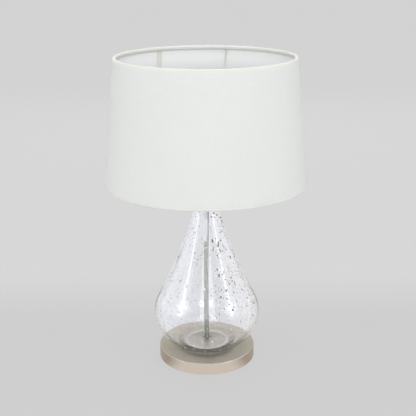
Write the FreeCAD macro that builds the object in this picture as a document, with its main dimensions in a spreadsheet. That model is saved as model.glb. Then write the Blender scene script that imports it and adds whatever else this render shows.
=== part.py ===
import FreeCAD, Part
import math
import os

import Sketcher

# Glass table lamp: a blown teardrop vessel on a weighted steel disc, a thin tube up its middle that
# carries the lampholder, and a tapered drum shade that hangs on the lampholder from three bent wires.
#
# Frame: millimetres, +Z up, origin on the lamp's axis at the underside of the foot pad. The front faces
# -Y, the cord bushing is at the back, towards +Y. Everything stacks on the stem, from the pad upwards.

SIZES = {
    # base
    "disc_diameter": 196.0,
    "disc_height": 25.0,
    "cover_wall": 1.5,
    "cover_round": 1.5,
    "pad_thickness": 2.0,
    "pad_proud": 1.0,
    "rim_gap": 0.5,
    "weight_thickness": 12.0,
    "hub_diameter": 44.0,
    "recess_diameter": 34.0,
    "recess_depth": 10.0,
    "channel_width": 10.0,
    "channel_height": 11.0,
    # cord bushing
    "cord_bore": 6.4,
    "bushing_wall": 1.3,
    "bushing_flange": 13.0,
    "bushing_flange_thickness": 1.8,
    "bushing_depth": 7.0,
    "bushing_height": 8.0,
    # stem and its fasteners
    "stem_diameter": 10.0,
    "stem_bore": 7.0,
    "stem_tail": 1.0,
    "slip_fit": 0.05,
    "free_fit": 0.3,
    "nut_flats": 14.0,
    "nut_height": 5.0,
    "washer_diameter": 28.0,
    "washer_thickness": 1.5,
    "lock_washer_diameter": 18.0,
    "lock_washer_thickness": 1.0,
    "lock_notch_width": 1.6,
    "lock_notch_depth": 1.8,
    # glass vessel
    "seat_thickness": 1.0,
    "seat_bore": 76.0,
    "glass_height": 319.0,
    "glass_wall": 3.0,
    "glass_floor": 7.0,
    "belly_offset": 34.4,
    "belly_radius": 72.8,
    "belly_height": 72.0,
    "flank_angle": 26.8,
    "flank_reach": 42.7,
    "neck_reach": 50.0,
    "neck_diameter": 44.1,
    "punt_rise": 2.5,
    "floor_hole": 14.0,
    # neck fittings
    "neck_gasket_thickness": 1.5,
    "cap_skirt": 9.0,
    "cap_wall": 1.2,
    "cap_top": 2.0,
    "cap_play": 1.0,
    "cap_round": 1.2,
    "neck_nut_flats": 17.0,
    # lampholder
    "holder_gap": 1.0,
    "holder_diameter": 39.0,
    "holder_wall": 1.2,
    "boss_diameter": 15.0,
    "boss_height": 4.0,
    "flare_height": 6.0,
    "flare_floor": 1.4,
    "holder_cap_height": 21.5,
    "holder_height": 45.0,
    "shoulder_diameter": 48.0,
    "shoulder_height": 14.0,
    "shoulder_thickness": 2.3,
    "thread_pitch": 2.5,
    "thread_ridge": 0.5,
    "stem_into_holder": 2.2,
    "core_lift": 0.4,
    "core_below": 31.0,
    "wire_well_diameter": 11.0,
    "wire_well_depth": 12.0,
    "grub_diameter": 3.0,
    "terminal_spacing": 22.0,
    "terminal_shank": 3.0,
    "terminal_head": 5.2,
    "terminal_head_height": 2.2,
    "terminal_length": 8.0,
    # lamp socket and bulb
    "socket_bore": 27.0,
    "socket_depth": 22.0,
    "socket_sheet": 0.4,
    "edison_pitch": 3.6,
    "edison_ridge": 0.6,
    "contact_height": 3.3,
    "contact_width": 5.0,
    "contact_reach": 5.0,
    "contact_sheet": 0.5,
    "contact_hole": 12.0,
    "bulb_length": 108.0,
    "bulb_diameter": 60.0,
    "bulb_wall": 1.0,
    "bulb_neck": 23.8,
    "bulb_cap_diameter": 26.2,
    "bulb_cap_length": 21.0,
    "bulb_tip_height": 1.8,
    "bulb_tip_diameter": 9.0,
    "bulb_insulator_height": 4.2,
    "bulb_flank_angle": 38.0,
    "bulb_flank_reach": 22.0,
    "bulb_neck_reach": 12.0,
    # push-bar switch
    "bar_height": 20.0,
    "bar_diameter": 5.0,
    "bar_travel": 7.0,
    "bar_head_diameter": 7.0,
    "bar_head_length": 4.0,
    "bar_head_clear": 0.5,
    "bar_head_round": 1.0,
    # shade fitting
    "fitter_hole": 42.0,
    "fitter_diameter": 60.0,
    "fitter_thickness": 2.0,
    "shade_ring_diameter": 50.0,
    "shade_ring_height": 7.0,
    "grip_groove": 1.2,
    # shade
    "shade_bottom_diameter": 400.0,
    "shade_top_diameter": 350.0,
    "shade_height": 245.0,
    "shade_hang": 17.6,
    "fabric_thickness": 0.6,
    "liner_thickness": 0.6,
    "sheet_gap": 0.05,
    "fold_depth": 8.0,
    "fold_round": 2.2,
    "ring_wire": 3.5,
    "ring_play": 0.15,
    "arm_wire": 3.5,
    "arm_lean": 22.0,
    "arm_azimuth": 75.5,
    "arm_drop": 9.0,
    "arm_clear": 0.5,
    "top_bend": 8.0,
    "low_bend": 14.0,
    "seam_width": 13.0,
    "seam_thickness": 0.3,
    "seam_gap": 0.45,
    "seam_azimuth": 122.6,
}

ARM_COUNT = 3
GRIP_COUNT = 24
LOCK_NOTCH_COUNT = 8
SHADE_THREAD_TURNS = 9
EDISON_TURNS = 5
FULL_TURN = 360.0
HEXAGON = 6


class Size:
    """A number together with the formula that gives it from the cells of the size sheet."""

    def __init__(self, value, formula):
        self.value = value
        self.formula = formula

    def __add__(self, other):
        other = as_size(other)
        return Size(self.value + other.value, f"({self.formula} + {other.formula})")

    def __sub__(self, other):
        other = as_size(other)
        return Size(self.value - other.value, f"({self.formula} - {other.formula})")

    def __mul__(self, other):
        other = as_size(other)
        return Size(self.value * other.value, f"({self.formula} * {other.formula})")

    def __truediv__(self, other):
        other = as_size(other)
        return Size(self.value / other.value, f"({self.formula} / {other.formula})")

    def __neg__(self):
        return Size(-self.value, f"(-1 * {self.formula})")

    __radd__ = __add__
    __rmul__ = __mul__


def as_size(number):
    """The number itself as a size, where it isn't one yet."""
    return number if isinstance(number, Size) else Size(float(number), repr(float(number)))


def trig(name, angle):
    """The sine, cosine or tangent of an angle in degrees."""
    return Size(getattr(math, name)(math.radians(angle.value)), f"{name}({angle.formula} * 1deg)")


def size_sheet(document, sizes):
    """The sheet of driving dimensions, one named cell each, and the sizes that read those cells."""
    sheet = document.addObject("Spreadsheet::Sheet", "Sizes")
    for row, (name, number) in enumerate(sizes.items(), start=1):
        sheet.set(f"A{row}", name)
        sheet.set(f"B{row}", str(number))
        sheet.setAlias(f"B{row}", name)
    document.recompute()
    return {name: Size(float(sheet.get(name)), f"Sizes.{name}") for name in sizes}


doc = FreeCAD.newDocument("table_lamp")
S = size_sheet(doc, SIZES)


# ---------------------------------------------------------------------------------------- sketching


def origin_feature(body, role):
    """The body's own origin plane or axis of that role."""
    return next(f for f in body.Origin.OriginFeatures if f.Role == role)


def new_sketch(body, plane, lift=None):
    """An empty sketch on one of the body's origin planes, lifted off it along its normal."""
    sketch = body.newObject("Sketcher::SketchObject", f"{body.Name}_sketch")
    sketch.AttachmentSupport = [(origin_feature(body, plane), "")]
    sketch.MapMode = "FlatFace"
    if lift is not None:
        sketch.setExpression("AttachmentOffset.Base.z", lift.formula)
    return sketch


def hold(sketch, geometry, point, across, up):
    """Holds one point of a sketch at its distances from the origin; a plain 0 puts it on an axis."""
    for kind, distance, axis in (("DistanceX", across, -2), ("DistanceY", up, -1)):
        if isinstance(distance, Size):
            index = sketch.addConstraint(
                Sketcher.Constraint(kind, -1, 1, geometry, point, distance.value)
            )
            sketch.setExpression(f"Constraints[{index}]", distance.formula)
        else:
            sketch.addConstraint(Sketcher.Constraint("PointOnObject", geometry, point, axis))


def bind_radius(sketch, geometry, radius):
    """Gives a circle or an arc its radius."""
    index = sketch.addConstraint(Sketcher.Constraint("Radius", geometry, radius.value))
    sketch.setExpression(f"Constraints[{index}]", radius.formula)


def vector(across, up):
    """A sketch point from two sizes."""
    return FreeCAD.Vector(as_size(across).value, as_size(up).value, 0)


def polygon_sketch(body, plane, corners, lift=None):
    """A closed sketch of straight lines through the corners."""
    sketch = new_sketch(body, plane, lift)
    count = len(corners)
    for index, corner in enumerate(corners):
        line = Part.LineSegment(vector(*corner), vector(*corners[(index + 1) % count]))
        sketch.addGeometry(line)
    for index in range(count):
        sketch.addConstraint(Sketcher.Constraint("Coincident", index, 2, (index + 1) % count, 1))
        hold(sketch, index, 1, *corners[index])
    return sketch


def circle_sketch(body, plane, across, up, radius, lift=None):
    """A sketch of one circle."""
    sketch = new_sketch(body, plane, lift)
    up_axis = FreeCAD.Vector(0, 0, 1)
    sketch.addGeometry(Part.Circle(vector(across, up), up_axis, radius.value))
    hold(sketch, 0, 3, across, up)
    bind_radius(sketch, 0, radius)
    return sketch


# ---------------------------------------------------------------------------------------- features


def circle_edges(shape, corners):
    """The names of the shape's circular edges about Z that run through the (radius, height) corners."""
    names = []
    for number, edge in enumerate(shape.Edges, start=1):
        if not isinstance(edge.Curve, Part.Circle):
            continue
        centre = edge.Curve.Center
        for radius, height in corners:
            on_axis = math.hypot(centre.x, centre.y) < 1e-6
            same_radius = abs(edge.Curve.Radius - as_size(radius).value) < 1e-4
            if on_axis and same_radius and abs(centre.z - as_size(height).value) < 1e-4:
                names.append(f"Edge{number}")
    return names


def turned(label, outline, height=None, sweep=None):
    """A body turned about Z from its half section, whose corners are (radius, height) pairs."""
    body = doc.addObject("PartDesign::Body", label)
    sketch = polygon_sketch(body, "XZ_Plane", outline)
    revolution = body.newObject("PartDesign::Revolution", f"{label}_turning")
    revolution.Profile = sketch
    revolution.ReferenceAxis = (sketch, ["V_Axis"])
    revolution.Angle = FULL_TURN
    if sweep is not None:
        revolution.setExpression("Angle", sweep.formula)
    body.Tip = revolution
    if height is not None:
        body.setExpression("Placement.Base.z", height.formula)
    doc.recompute()
    return body


def rounded(body, radius, corners):
    """Rounds the circular edges of a turned body that run through the corners."""
    base = body.Tip
    fillet = body.newObject("PartDesign::Fillet", f"{body.Name}_round")
    fillet.Base = (base, circle_edges(base.Shape, corners))
    fillet.setExpression("Radius", radius.formula)
    body.Tip = fillet
    doc.recompute()


def pocketed(body, sketch, both_ways=False):
    """Cuts a sketch right through the body, away from its normal, or both ways from its plane."""
    before = body.Tip.Shape.Volume
    pocket = body.newObject("PartDesign::Pocket", f"{body.Name}_cut")
    pocket.Profile = sketch
    pocket.Type = "ThroughAll"
    if both_ways:
        pocket.SideType = "Symmetric"
    body.Tip = pocket
    doc.recompute()
    if not pocket.Shape.Volume < before:
        raise ValueError(f"the cut in {body.Label} removes nothing")
    return pocket


def patterned(body, feature, count):
    """Repeats a cut around Z."""
    pattern = body.newObject("PartDesign::PolarPattern", f"{body.Name}_pattern")
    pattern.Originals = [feature]
    pattern.Axis = (origin_feature(body, "Z_Axis"), [""])
    pattern.Angle = FULL_TURN
    pattern.Occurrences = count
    body.Tip = pattern
    doc.recompute()


def laid_along(body, axis, angle, **place):
    """Turns a body from Z to another direction and moves it along the named coordinates."""
    body.Placement = FreeCAD.Placement(FreeCAD.Vector(), FreeCAD.Rotation(axis, angle))
    for coordinate, distance in place.items():
        body.setExpression(f"Placement.Base.{coordinate}", distance.formula)


def cylinder(name, radius, length, height):
    """A plain cylinder on the axis, as a tool or a blank."""
    rod = doc.addObject("Part::Cylinder", name)
    rod.setExpression("Radius", radius.formula)
    rod.setExpression("Height", length.formula)
    rod.setExpression("Placement.Base.z", height.formula)
    return rod


def hexagon_nut(label, flats, length, bore_radius, height):
    """A hexagon nut with a plain bore."""
    blank = doc.addObject("Part::Prism", f"{label}_blank")
    blank.Polygon = HEXAGON
    corner_radius = flats / 2 / trig("cos", as_size(FULL_TURN / HEXAGON / 2))
    blank.setExpression("Circumradius", corner_radius.formula)
    blank.setExpression("Height", length.formula)
    blank.setExpression("Placement.Base.z", height.formula)
    nut = doc.addObject("Part::Cut", label)
    nut.Base = blank
    nut.Tool = cylinder(f"{label}_bore", bore_radius, length, height)
    doc.recompute()
    return nut


def ridges(root, crest, foot, pitch, turns):
    """The corners of a row of thread ridges, from the foot upwards: out to the crest and back."""
    corners = []
    for turn in range(turns):
        start = foot + pitch * turn
        corners += [(root, start), (crest, start + pitch / 2)]
    corners.append((root, foot + pitch * turns))
    return corners


# ---------------------------------------------------------------------------------------- heights

slip = S["slip_fit"]
free = S["free_fit"]
stem_radius = S["stem_diameter"] / 2
stem_hole = stem_radius + slip
disc_radius = S["disc_diameter"] / 2
cover_inner = disc_radius - S["cover_wall"]
inside_radius = cover_inner - S["rim_gap"]
disc_top = S["disc_height"]
cover_ceiling = disc_top - S["cover_wall"]
weight_bottom = S["pad_thickness"]
recess_top = weight_bottom + S["recess_depth"]
washer_bottom = recess_top - S["washer_thickness"]
lock_bottom = washer_bottom - S["lock_washer_thickness"]
stem_nut_bottom = lock_bottom - S["nut_height"]
stem_bottom = stem_nut_bottom - S["stem_tail"]
glass_foot = disc_top + S["seat_thickness"]
lip_top = glass_foot + S["glass_height"]
cap_under = lip_top + S["neck_gasket_thickness"]
cap_above = cap_under + S["cap_top"]
neck_nut_top = cap_above + S["nut_height"]
holder_bottom = neck_nut_top + S["holder_gap"]
holder_floor = holder_bottom + S["boss_height"] + S["flare_floor"]
shell_bottom = holder_bottom + S["holder_cap_height"]
shoulder_top = S["shoulder_height"] + S["shoulder_thickness"]
fitter_bottom = shell_bottom + shoulder_top + free
fitter_top = fitter_bottom + S["fitter_thickness"]
shade_bottom = fitter_bottom - S["shade_hang"]
shade_top = shade_bottom + S["shade_height"]

# ---------------------------------------------------------------------------------------- base

pad_radius = inside_radius
foot_pad = turned(
    "foot_pad",
    [(0, 0), (pad_radius, 0), (pad_radius, S["pad_thickness"]), (0, S["pad_thickness"])],
)

cover_rim = S["pad_proud"]
base_cover = turned(
    "base_cover",
    [
        (cover_inner, cover_rim),
        (disc_radius, cover_rim),
        (disc_radius, disc_top),
        (stem_hole, disc_top),
        (stem_hole, cover_ceiling),
        (cover_inner, cover_ceiling),
    ],
)
rounded(base_cover, S["cover_round"], [(disc_radius, disc_top)])
bushing_radius = S["cord_bore"] / 2 + S["bushing_wall"]
pocketed(
    base_cover,
    circle_sketch(base_cover, "XZ_Plane", 0, S["bushing_height"], bushing_radius + slip),
)

weight_top = weight_bottom + S["weight_thickness"]
hub_radius = S["hub_diameter"] / 2
recess_radius = S["recess_diameter"] / 2
base_weight = turned(
    "base_weight",
    [
        (stem_hole, recess_top),
        (recess_radius, recess_top),
        (recess_radius, weight_bottom),
        (inside_radius, weight_bottom),
        (inside_radius, weight_top),
        (hub_radius, weight_top),
        (hub_radius, cover_ceiling),
        (stem_hole, cover_ceiling),
    ],
)
half_channel = S["channel_width"] / 2
pocketed(
    base_weight,
    polygon_sketch(
        base_weight,
        "XY_Plane",
        [(-half_channel, 0), (half_channel, 0), (half_channel, disc_radius), (-half_channel, disc_radius)],
        lift=weight_bottom + S["channel_height"],
    ),
)

flange = S["bushing_flange"] / 2
neck_of_bushing = S["bushing_depth"]
bushing_end = neck_of_bushing + S["bushing_flange_thickness"]
cord_radius = S["cord_bore"] / 2
cord_bushing = turned(
    "cord_bushing",
    [
        (cord_radius, 0),
        (bushing_radius, 0),
        (bushing_radius, neck_of_bushing),
        (flange, neck_of_bushing),
        (flange, bushing_end),
        (cord_radius, bushing_end),
    ],
)
laid_along(
    cord_bushing,
    FreeCAD.Vector(1, 0, 0),
    -90,
    y=disc_radius + slip - neck_of_bushing,
    z=S["bushing_height"],
)

# ---------------------------------------------------------------------------------------- stem

stem_top = holder_floor + S["stem_into_holder"]
bore_radius = S["stem_bore"] / 2
stem_tube = turned(
    "stem_tube",
    [
        (bore_radius, stem_bottom),
        (stem_radius, stem_bottom),
        (stem_radius, stem_top),
        (bore_radius, stem_top),
    ],
)

washer_radius = S["washer_diameter"] / 2
stem_washer = turned(
    "stem_washer",
    [
        (stem_hole, washer_bottom),
        (washer_radius, washer_bottom),
        (washer_radius, recess_top),
        (stem_hole, recess_top),
    ],
)

lock_radius = S["lock_washer_diameter"] / 2
lock_washer = turned(
    "lock_washer",
    [
        (stem_hole, lock_bottom),
        (lock_radius, lock_bottom),
        (lock_radius, washer_bottom),
        (stem_hole, washer_bottom),
    ],
)
half_notch = S["lock_notch_width"] / 2
notch_floor = lock_radius - S["lock_notch_depth"]
notch = pocketed(
    lock_washer,
    polygon_sketch(
        lock_washer,
        "XY_Plane",
        [(notch_floor, -half_notch), (lock_radius + slip, -half_notch),
         (lock_radius + slip, half_notch), (notch_floor, half_notch)],
        lift=washer_bottom,
    ),
)
patterned(lock_washer, notch, LOCK_NOTCH_COUNT)

stem_nut = hexagon_nut("stem_nut", S["nut_flats"], S["nut_height"], stem_hole, stem_nut_bottom)

# ---------------------------------------------------------------------------------------- glass


def wall_curves(axis_offset, belly_height, radius, start, flank, reach, neck_reach, neck, way):
    """One side of a blown wall: a belly arc, then a cubic curve that leaves it at the flank and ends
    upright at the neck. The reaches are the cubic's handles, way is 1 for a neck above the belly."""

    def on_belly(angle):
        turn = math.radians(angle)
        return FreeCAD.Vector(
            axis_offset + radius * math.cos(turn), 0, belly_height + way * radius * math.sin(turn)
        )

    lean = math.radians(flank)
    leave = on_belly(flank)
    handle = leave + FreeCAD.Vector(-reach * math.sin(lean), 0, way * reach * math.cos(lean))
    end = FreeCAD.Vector(neck[0], 0, neck[1])
    upright = end - FreeCAD.Vector(0, 0, way * neck_reach)
    arc = Part.Arc(on_belly(start), on_belly((start + flank) / 2), leave)
    curve = Part.BezierCurve()
    curve.setPoles([leave, handle, upright, end])
    return [arc.toShape(), curve.toShape()]


def lines(*points):
    """Straight edges through (radius, height) points."""
    corners = [FreeCAD.Vector(radius, 0, height) for radius, height in points]
    return [Part.makeLine(a, b) for a, b in zip(corners, corners[1:])]


def blown(label, outline, height):
    """A blown piece: its closed half section turned about Z and set at its height."""
    wire = Part.Wire(Part.__sortEdges__(outline))
    solid = Part.Face(wire).revolve(FreeCAD.Vector(), FreeCAD.Vector(0, 0, 1), FULL_TURN)
    if solid.Volume < 0:
        solid.reverse()
    piece = doc.addObject("Part::Feature", label)
    piece.Shape = solid
    piece.Placement = FreeCAD.Placement(FreeCAD.Vector(0, 0, height), FreeCAD.Rotation())
    return piece


def belly_angle(height, radius):
    """The angle at which a belly arc of the radius passes that far below its centre."""
    return -math.degrees(math.asin(height / radius))


def vessel_outline():
    """The half section of the glass vessel above its foot: contact ring, belly, flank and open neck,
    then down the inside to the thick drilled floor and the hollow punt under it."""
    neck_radius = S["neck_diameter"].value / 2
    top = S["glass_height"].value
    wall = S["glass_wall"].value
    floor = S["glass_floor"].value
    centre = S["belly_offset"].value
    belly = S["belly_height"].value
    outer_radius = S["belly_radius"].value
    inner_radius = outer_radius - wall
    foot_angle = belly_angle(belly, outer_radius)
    floor_angle = belly_angle(belly - floor, inner_radius)
    shared = (S["flank_angle"].value, S["flank_reach"].value, S["neck_reach"].value)
    outside = wall_curves(centre, belly, outer_radius, foot_angle, *shared, (neck_radius, top), 1)
    inside = wall_curves(centre, belly, inner_radius, floor_angle, *shared, (neck_radius - wall, top), 1)
    contact = centre + outer_radius * math.cos(math.radians(foot_angle))
    floor_edge = centre + inner_radius * math.cos(math.radians(floor_angle))
    hole = S["floor_hole"].value / 2
    lip = lines((neck_radius, top), (neck_radius - wall, top))
    bottom = lines(
        (floor_edge, floor),
        (hole, floor),
        (hole, S["punt_rise"].value),
        (S["seat_bore"].value / 2, 0),
        (contact, 0),
    )
    return outside + inside + lip + bottom


glass_body = blown("glass_body", vessel_outline(), glass_foot.value)

# The gasket lies under the contact ring, whose edge is where the belly arc meets the foot.
contact_edge = S["belly_offset"] + S["belly_radius"] * Size(
    math.sqrt(1 - (S["belly_height"].value / S["belly_radius"].value) ** 2),
    "sqrt(1 - (Sizes.belly_height / Sizes.belly_radius)^2)",
)
seat_inner = S["seat_bore"] / 2
glass_seat = turned(
    "glass_seat",
    [(seat_inner, disc_top), (contact_edge, disc_top), (contact_edge, glass_foot), (seat_inner, glass_foot)],
)

grommet_radius = S["floor_hole"] / 2 - slip
grommet_bottom = glass_foot + S["punt_rise"]
grommet_top = glass_foot + S["glass_floor"]
stem_grommet = turned(
    "stem_grommet",
    [
        (stem_hole, grommet_bottom),
        (grommet_radius, grommet_bottom),
        (grommet_radius, grommet_top),
        (stem_hole, grommet_top),
    ],
)

# ---------------------------------------------------------------------------------------- neck

lip_radius = S["neck_diameter"] / 2
skirt_inner = lip_radius + S["cap_play"]
skirt_outer = skirt_inner + S["cap_wall"]
neck_gasket = turned(
    "neck_gasket",
    [(stem_hole, lip_top), (lip_radius, lip_top), (lip_radius, cap_under), (stem_hole, cap_under)],
)

skirt_bottom = lip_top - S["cap_skirt"]
neck_cap = turned(
    "neck_cap",
    [
        (stem_hole, cap_under),
        (skirt_inner, cap_under),
        (skirt_inner, skirt_bottom),
        (skirt_outer, skirt_bottom),
        (skirt_outer, cap_above),
        (stem_hole, cap_above),
    ],
)
rounded(neck_cap, S["cap_round"], [(skirt_outer, cap_above)])

neck_nut = hexagon_nut("neck_nut", S["neck_nut_flats"], S["nut_height"], stem_hole, cap_above)

# ---------------------------------------------------------------------------------------- lampholder

holder_radius = S["holder_diameter"] / 2
holder_inner = holder_radius - S["holder_wall"]
boss_radius = S["boss_diameter"] / 2
boss_top = S["boss_height"]
flare_top = boss_top + S["flare_height"]
cap_floor = boss_top + S["flare_floor"]
flare_slope = S["flare_height"] / (holder_radius - boss_radius)
inner_flare_top = cap_floor + (holder_inner - boss_radius) * flare_slope
holder_cap = turned(
    "holder_cap",
    [
        (stem_hole, 0),
        (boss_radius, 0),
        (boss_radius, boss_top),
        (holder_radius, flare_top),
        (holder_radius, S["holder_cap_height"]),
        (holder_inner, S["holder_cap_height"]),
        (holder_inner, inner_flare_top),
        (boss_radius, cap_floor),
        (stem_hole, cap_floor),
    ],
    height=holder_bottom,
)
grub_radius = S["grub_diameter"] / 2
grub_height = boss_top / 2
pocketed(holder_cap, circle_sketch(holder_cap, "XZ_Plane", 0, grub_height, grub_radius + slip))

grub_start = stem_radius + slip
grub_length = boss_radius - grub_start
grub_screw = turned(
    "grub_screw",
    [(0, 0), (grub_radius, 0), (grub_radius, grub_length), (0, grub_length)],
)
laid_along(
    grub_screw,
    FreeCAD.Vector(1, 0, 0),
    -90,
    y=grub_start,
    z=holder_bottom + grub_height,
)

thread_crest = holder_radius + S["thread_ridge"]
shoulder_radius = S["shoulder_diameter"] / 2
thread_foot = shoulder_top + S["thread_pitch"]
holder_shell = turned(
    "holder_shell",
    [
        (holder_inner, 0),
        (holder_radius, 0),
        (holder_radius, S["shoulder_height"]),
        (shoulder_radius, S["shoulder_height"]),
        (shoulder_radius, shoulder_top),
        (holder_radius, shoulder_top),
        *ridges(holder_radius, thread_crest, thread_foot, S["thread_pitch"], SHADE_THREAD_TURNS),
        (holder_radius, S["holder_height"]),
        (holder_inner, S["holder_height"]),
    ],
    height=shell_bottom,
)

# The core stands on the cap's flare inside the shell and holds the socket in its upper cup.
core_bottom = holder_bottom + inner_flare_top + S["core_lift"]
core_radius = holder_inner - free
socket_sheet = S["socket_sheet"]
socket_inner = S["socket_bore"] / 2
socket_crest = socket_inner + S["edison_ridge"] + socket_sheet
cup_radius = socket_crest + free
core_top = shell_bottom + S["holder_height"] - S["holder_wall"] - core_bottom
socket_floor = S["core_below"]
well_radius = S["wire_well_diameter"] / 2
holder_core = turned(
    "holder_core",
    [
        (0, S["wire_well_depth"]),
        (well_radius, S["wire_well_depth"]),
        (well_radius, 0),
        (core_radius, 0),
        (core_radius, core_top),
        (cup_radius, core_top),
        (cup_radius, socket_floor),
        (0, socket_floor),
    ],
    height=core_bottom,
)

# The push bar crosses shell and core in one hole each.
bar_radius = S["bar_diameter"] / 2
bar_level = core_bottom + S["bar_height"]
bar_hole = bar_radius + free
for body, own_bottom in ((holder_shell, shell_bottom), (holder_core, core_bottom)):
    pocketed(
        body,
        circle_sketch(body, "YZ_Plane", 0, bar_level - own_bottom, bar_hole),
        both_ways=True,
    )

# Two terminal screws stand in the underside of the core, either side of the wire well, clear of the bar.
shank_radius = S["terminal_shank"] / 2
terminal_reach = S["terminal_spacing"] / 2
for side in (-1, 1):
    hole_sketch = circle_sketch(
        holder_core, "XY_Plane", 0, terminal_reach * side, shank_radius + slip, lift=S["terminal_length"]
    )
    pocketed(holder_core, hole_sketch)


def terminal_screw(name, side):
    """One terminal screw, head down, on its side of the wire well."""
    shank = cylinder(f"{name}_shank", shank_radius, S["terminal_length"], core_bottom)
    head_radius = S["terminal_head"] / 2
    head_bottom = core_bottom - S["terminal_head_height"]
    head = cylinder(f"{name}_head", head_radius, S["terminal_head_height"], head_bottom)
    for piece in (shank, head):
        piece.setExpression("Placement.Base.y", (terminal_reach * side).formula)
    screw = doc.addObject("Part::Fuse", name)
    screw.Base = shank
    screw.Tool = head
    return screw


terminal_screws = doc.addObject("Part::Compound", "terminal_screws")
terminal_screws.Links = [terminal_screw("front_terminal", -1), terminal_screw("rear_terminal", 1)]

socket_root = socket_inner + socket_sheet
socket_bottom = core_bottom + socket_floor
screw_foot = socket_sheet * 2
socket_thread_top = screw_foot + S["edison_pitch"] * EDISON_TURNS
contact_hole = S["contact_hole"] / 2
screw_shell = turned(
    "screw_shell",
    [
        (contact_hole, 0),
        (socket_root, 0),
        *ridges(socket_root, socket_crest, screw_foot, S["edison_pitch"], EDISON_TURNS),
        (socket_root, S["socket_depth"]),
        (socket_inner, S["socket_depth"]),
        *reversed(
            ridges(socket_inner, socket_crest - socket_sheet, screw_foot, S["edison_pitch"], EDISON_TURNS)
        ),
        (socket_inner, socket_sheet),
        (contact_hole, socket_sheet),
    ],
    height=socket_bottom,
)

# The centre contact is a leaf on the socket floor, with a raised tongue under the bulb's tip.
tongue = S["contact_height"]
leaf = S["contact_sheet"]
leaf_reach = S["contact_reach"]
leaf_slant = leaf * Size(math.sqrt(2), "sqrt(2)")
centre_contact = doc.addObject("PartDesign::Body", "centre_contact")
leaf_sketch = polygon_sketch(
    centre_contact,
    "XZ_Plane",
    [
        (-leaf_reach, 0),
        (-leaf, 0),
        (tongue - leaf, tongue - leaf),
        (leaf_reach, tongue - leaf),
        (leaf_reach, tongue),
        (tongue - leaf_slant, tongue),
        (-leaf_slant, leaf),
        (-leaf_reach, leaf),
    ],
)
leaf_pad = centre_contact.newObject("PartDesign::Pad", "centre_contact_pad")
leaf_pad.Profile = leaf_sketch
leaf_pad.SideType = "Symmetric"
leaf_pad.setExpression("Length", S["contact_width"].formula)
centre_contact.Tip = leaf_pad
centre_contact.setExpression("Placement.Base.z", socket_bottom.formula)

# ---------------------------------------------------------------------------------------- switch

bar_end = holder_radius + S["bar_head_clear"]
head_radius = S["bar_head_diameter"] / 2
head_length = S["bar_head_length"]
bar_length = bar_end * 2 + S["bar_travel"] + head_length * 2
switch_bar = turned(
    "switch_bar",
    [
        (0, 0),
        (head_radius, 0),
        (head_radius, head_length),
        (bar_radius, head_length),
        (bar_radius, bar_length - head_length),
        (head_radius, bar_length - head_length),
        (head_radius, bar_length),
        (0, bar_length),
    ],
)
rounded(switch_bar, S["bar_head_round"], [(head_radius, 0), (head_radius, bar_length)])
laid_along(
    switch_bar,
    FreeCAD.Vector(0, 1, 0),
    90,
    x=-(bar_end + S["bar_travel"] + head_length),
    z=bar_level,
)

# ---------------------------------------------------------------------------------------- bulb

bulb_bottom = socket_bottom + tongue + free
tip_height = S["bulb_tip_height"]
tip_radius = S["bulb_tip_diameter"] / 2
bulb_contact = turned(
    "bulb_contact",
    [(0, 0), (tip_radius - tip_height / 2, 0), (tip_radius, tip_height), (0, tip_height)],
    height=bulb_bottom,
)

cap_radius = S["bulb_cap_diameter"] / 2
cap_root = cap_radius - S["edison_ridge"]
insulator_top = tip_height + S["bulb_insulator_height"]
insulator_rim = cap_root - S["edison_ridge"]
bulb_insulator = turned(
    "bulb_insulator",
    [
        (0, tip_height),
        (tip_radius, tip_height),
        (insulator_rim, insulator_top),
        (0, insulator_top),
    ],
    height=bulb_bottom,
)

bulb_neck_radius = S["bulb_neck"] / 2
cap_bore = bulb_neck_radius + slip
cap_thread_foot = insulator_top + socket_sheet
bulb_cap_top = insulator_top + S["bulb_cap_length"]
bulb_cap = turned(
    "bulb_cap",
    [
        (insulator_rim - tip_height, insulator_top),
        (cap_root, insulator_top),
        *ridges(cap_root, cap_radius, cap_thread_foot, S["edison_pitch"], EDISON_TURNS),
        (cap_radius, bulb_cap_top - tip_height / 2),
        (cap_radius, bulb_cap_top),
        (cap_bore, bulb_cap_top),
        (cap_bore, cap_thread_foot),
        (insulator_rim - tip_height, cap_thread_foot),
    ],
    height=bulb_bottom,
)


def bulb_outline():
    """The half section of the bulb's envelope above the tip: a round top, a flank that draws in to the
    neck, and the neck's straight stretch down into the cap, all one wall thick."""
    wall = S["bulb_wall"].value
    outer_radius = S["bulb_diameter"].value / 2
    neck_radius = S["bulb_neck"].value / 2
    centre = S["bulb_length"].value - outer_radius
    neck_top = bulb_cap_top.value
    neck_end = (insulator_top + S["edison_pitch"] * 2).value
    shared = (S["bulb_flank_angle"].value, S["bulb_flank_reach"].value, S["bulb_neck_reach"].value)
    pole = -90.0
    outside = wall_curves(0, centre, outer_radius, pole, *shared, (neck_radius, neck_top), -1)
    inside = wall_curves(0, centre, outer_radius - wall, pole, *shared, (neck_radius - wall, neck_top), -1)
    top = lines((0, centre + outer_radius - wall), (0, centre + outer_radius))
    neck = lines(
        (neck_radius, neck_top),
        (neck_radius, neck_end),
        (neck_radius - wall, neck_end),
        (neck_radius - wall, neck_top),
    )
    return outside + inside + top + neck


bulb_glass = blown("bulb_glass", bulb_outline(), bulb_bottom.value)

# ---------------------------------------------------------------------------------------- shade fitting

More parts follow.
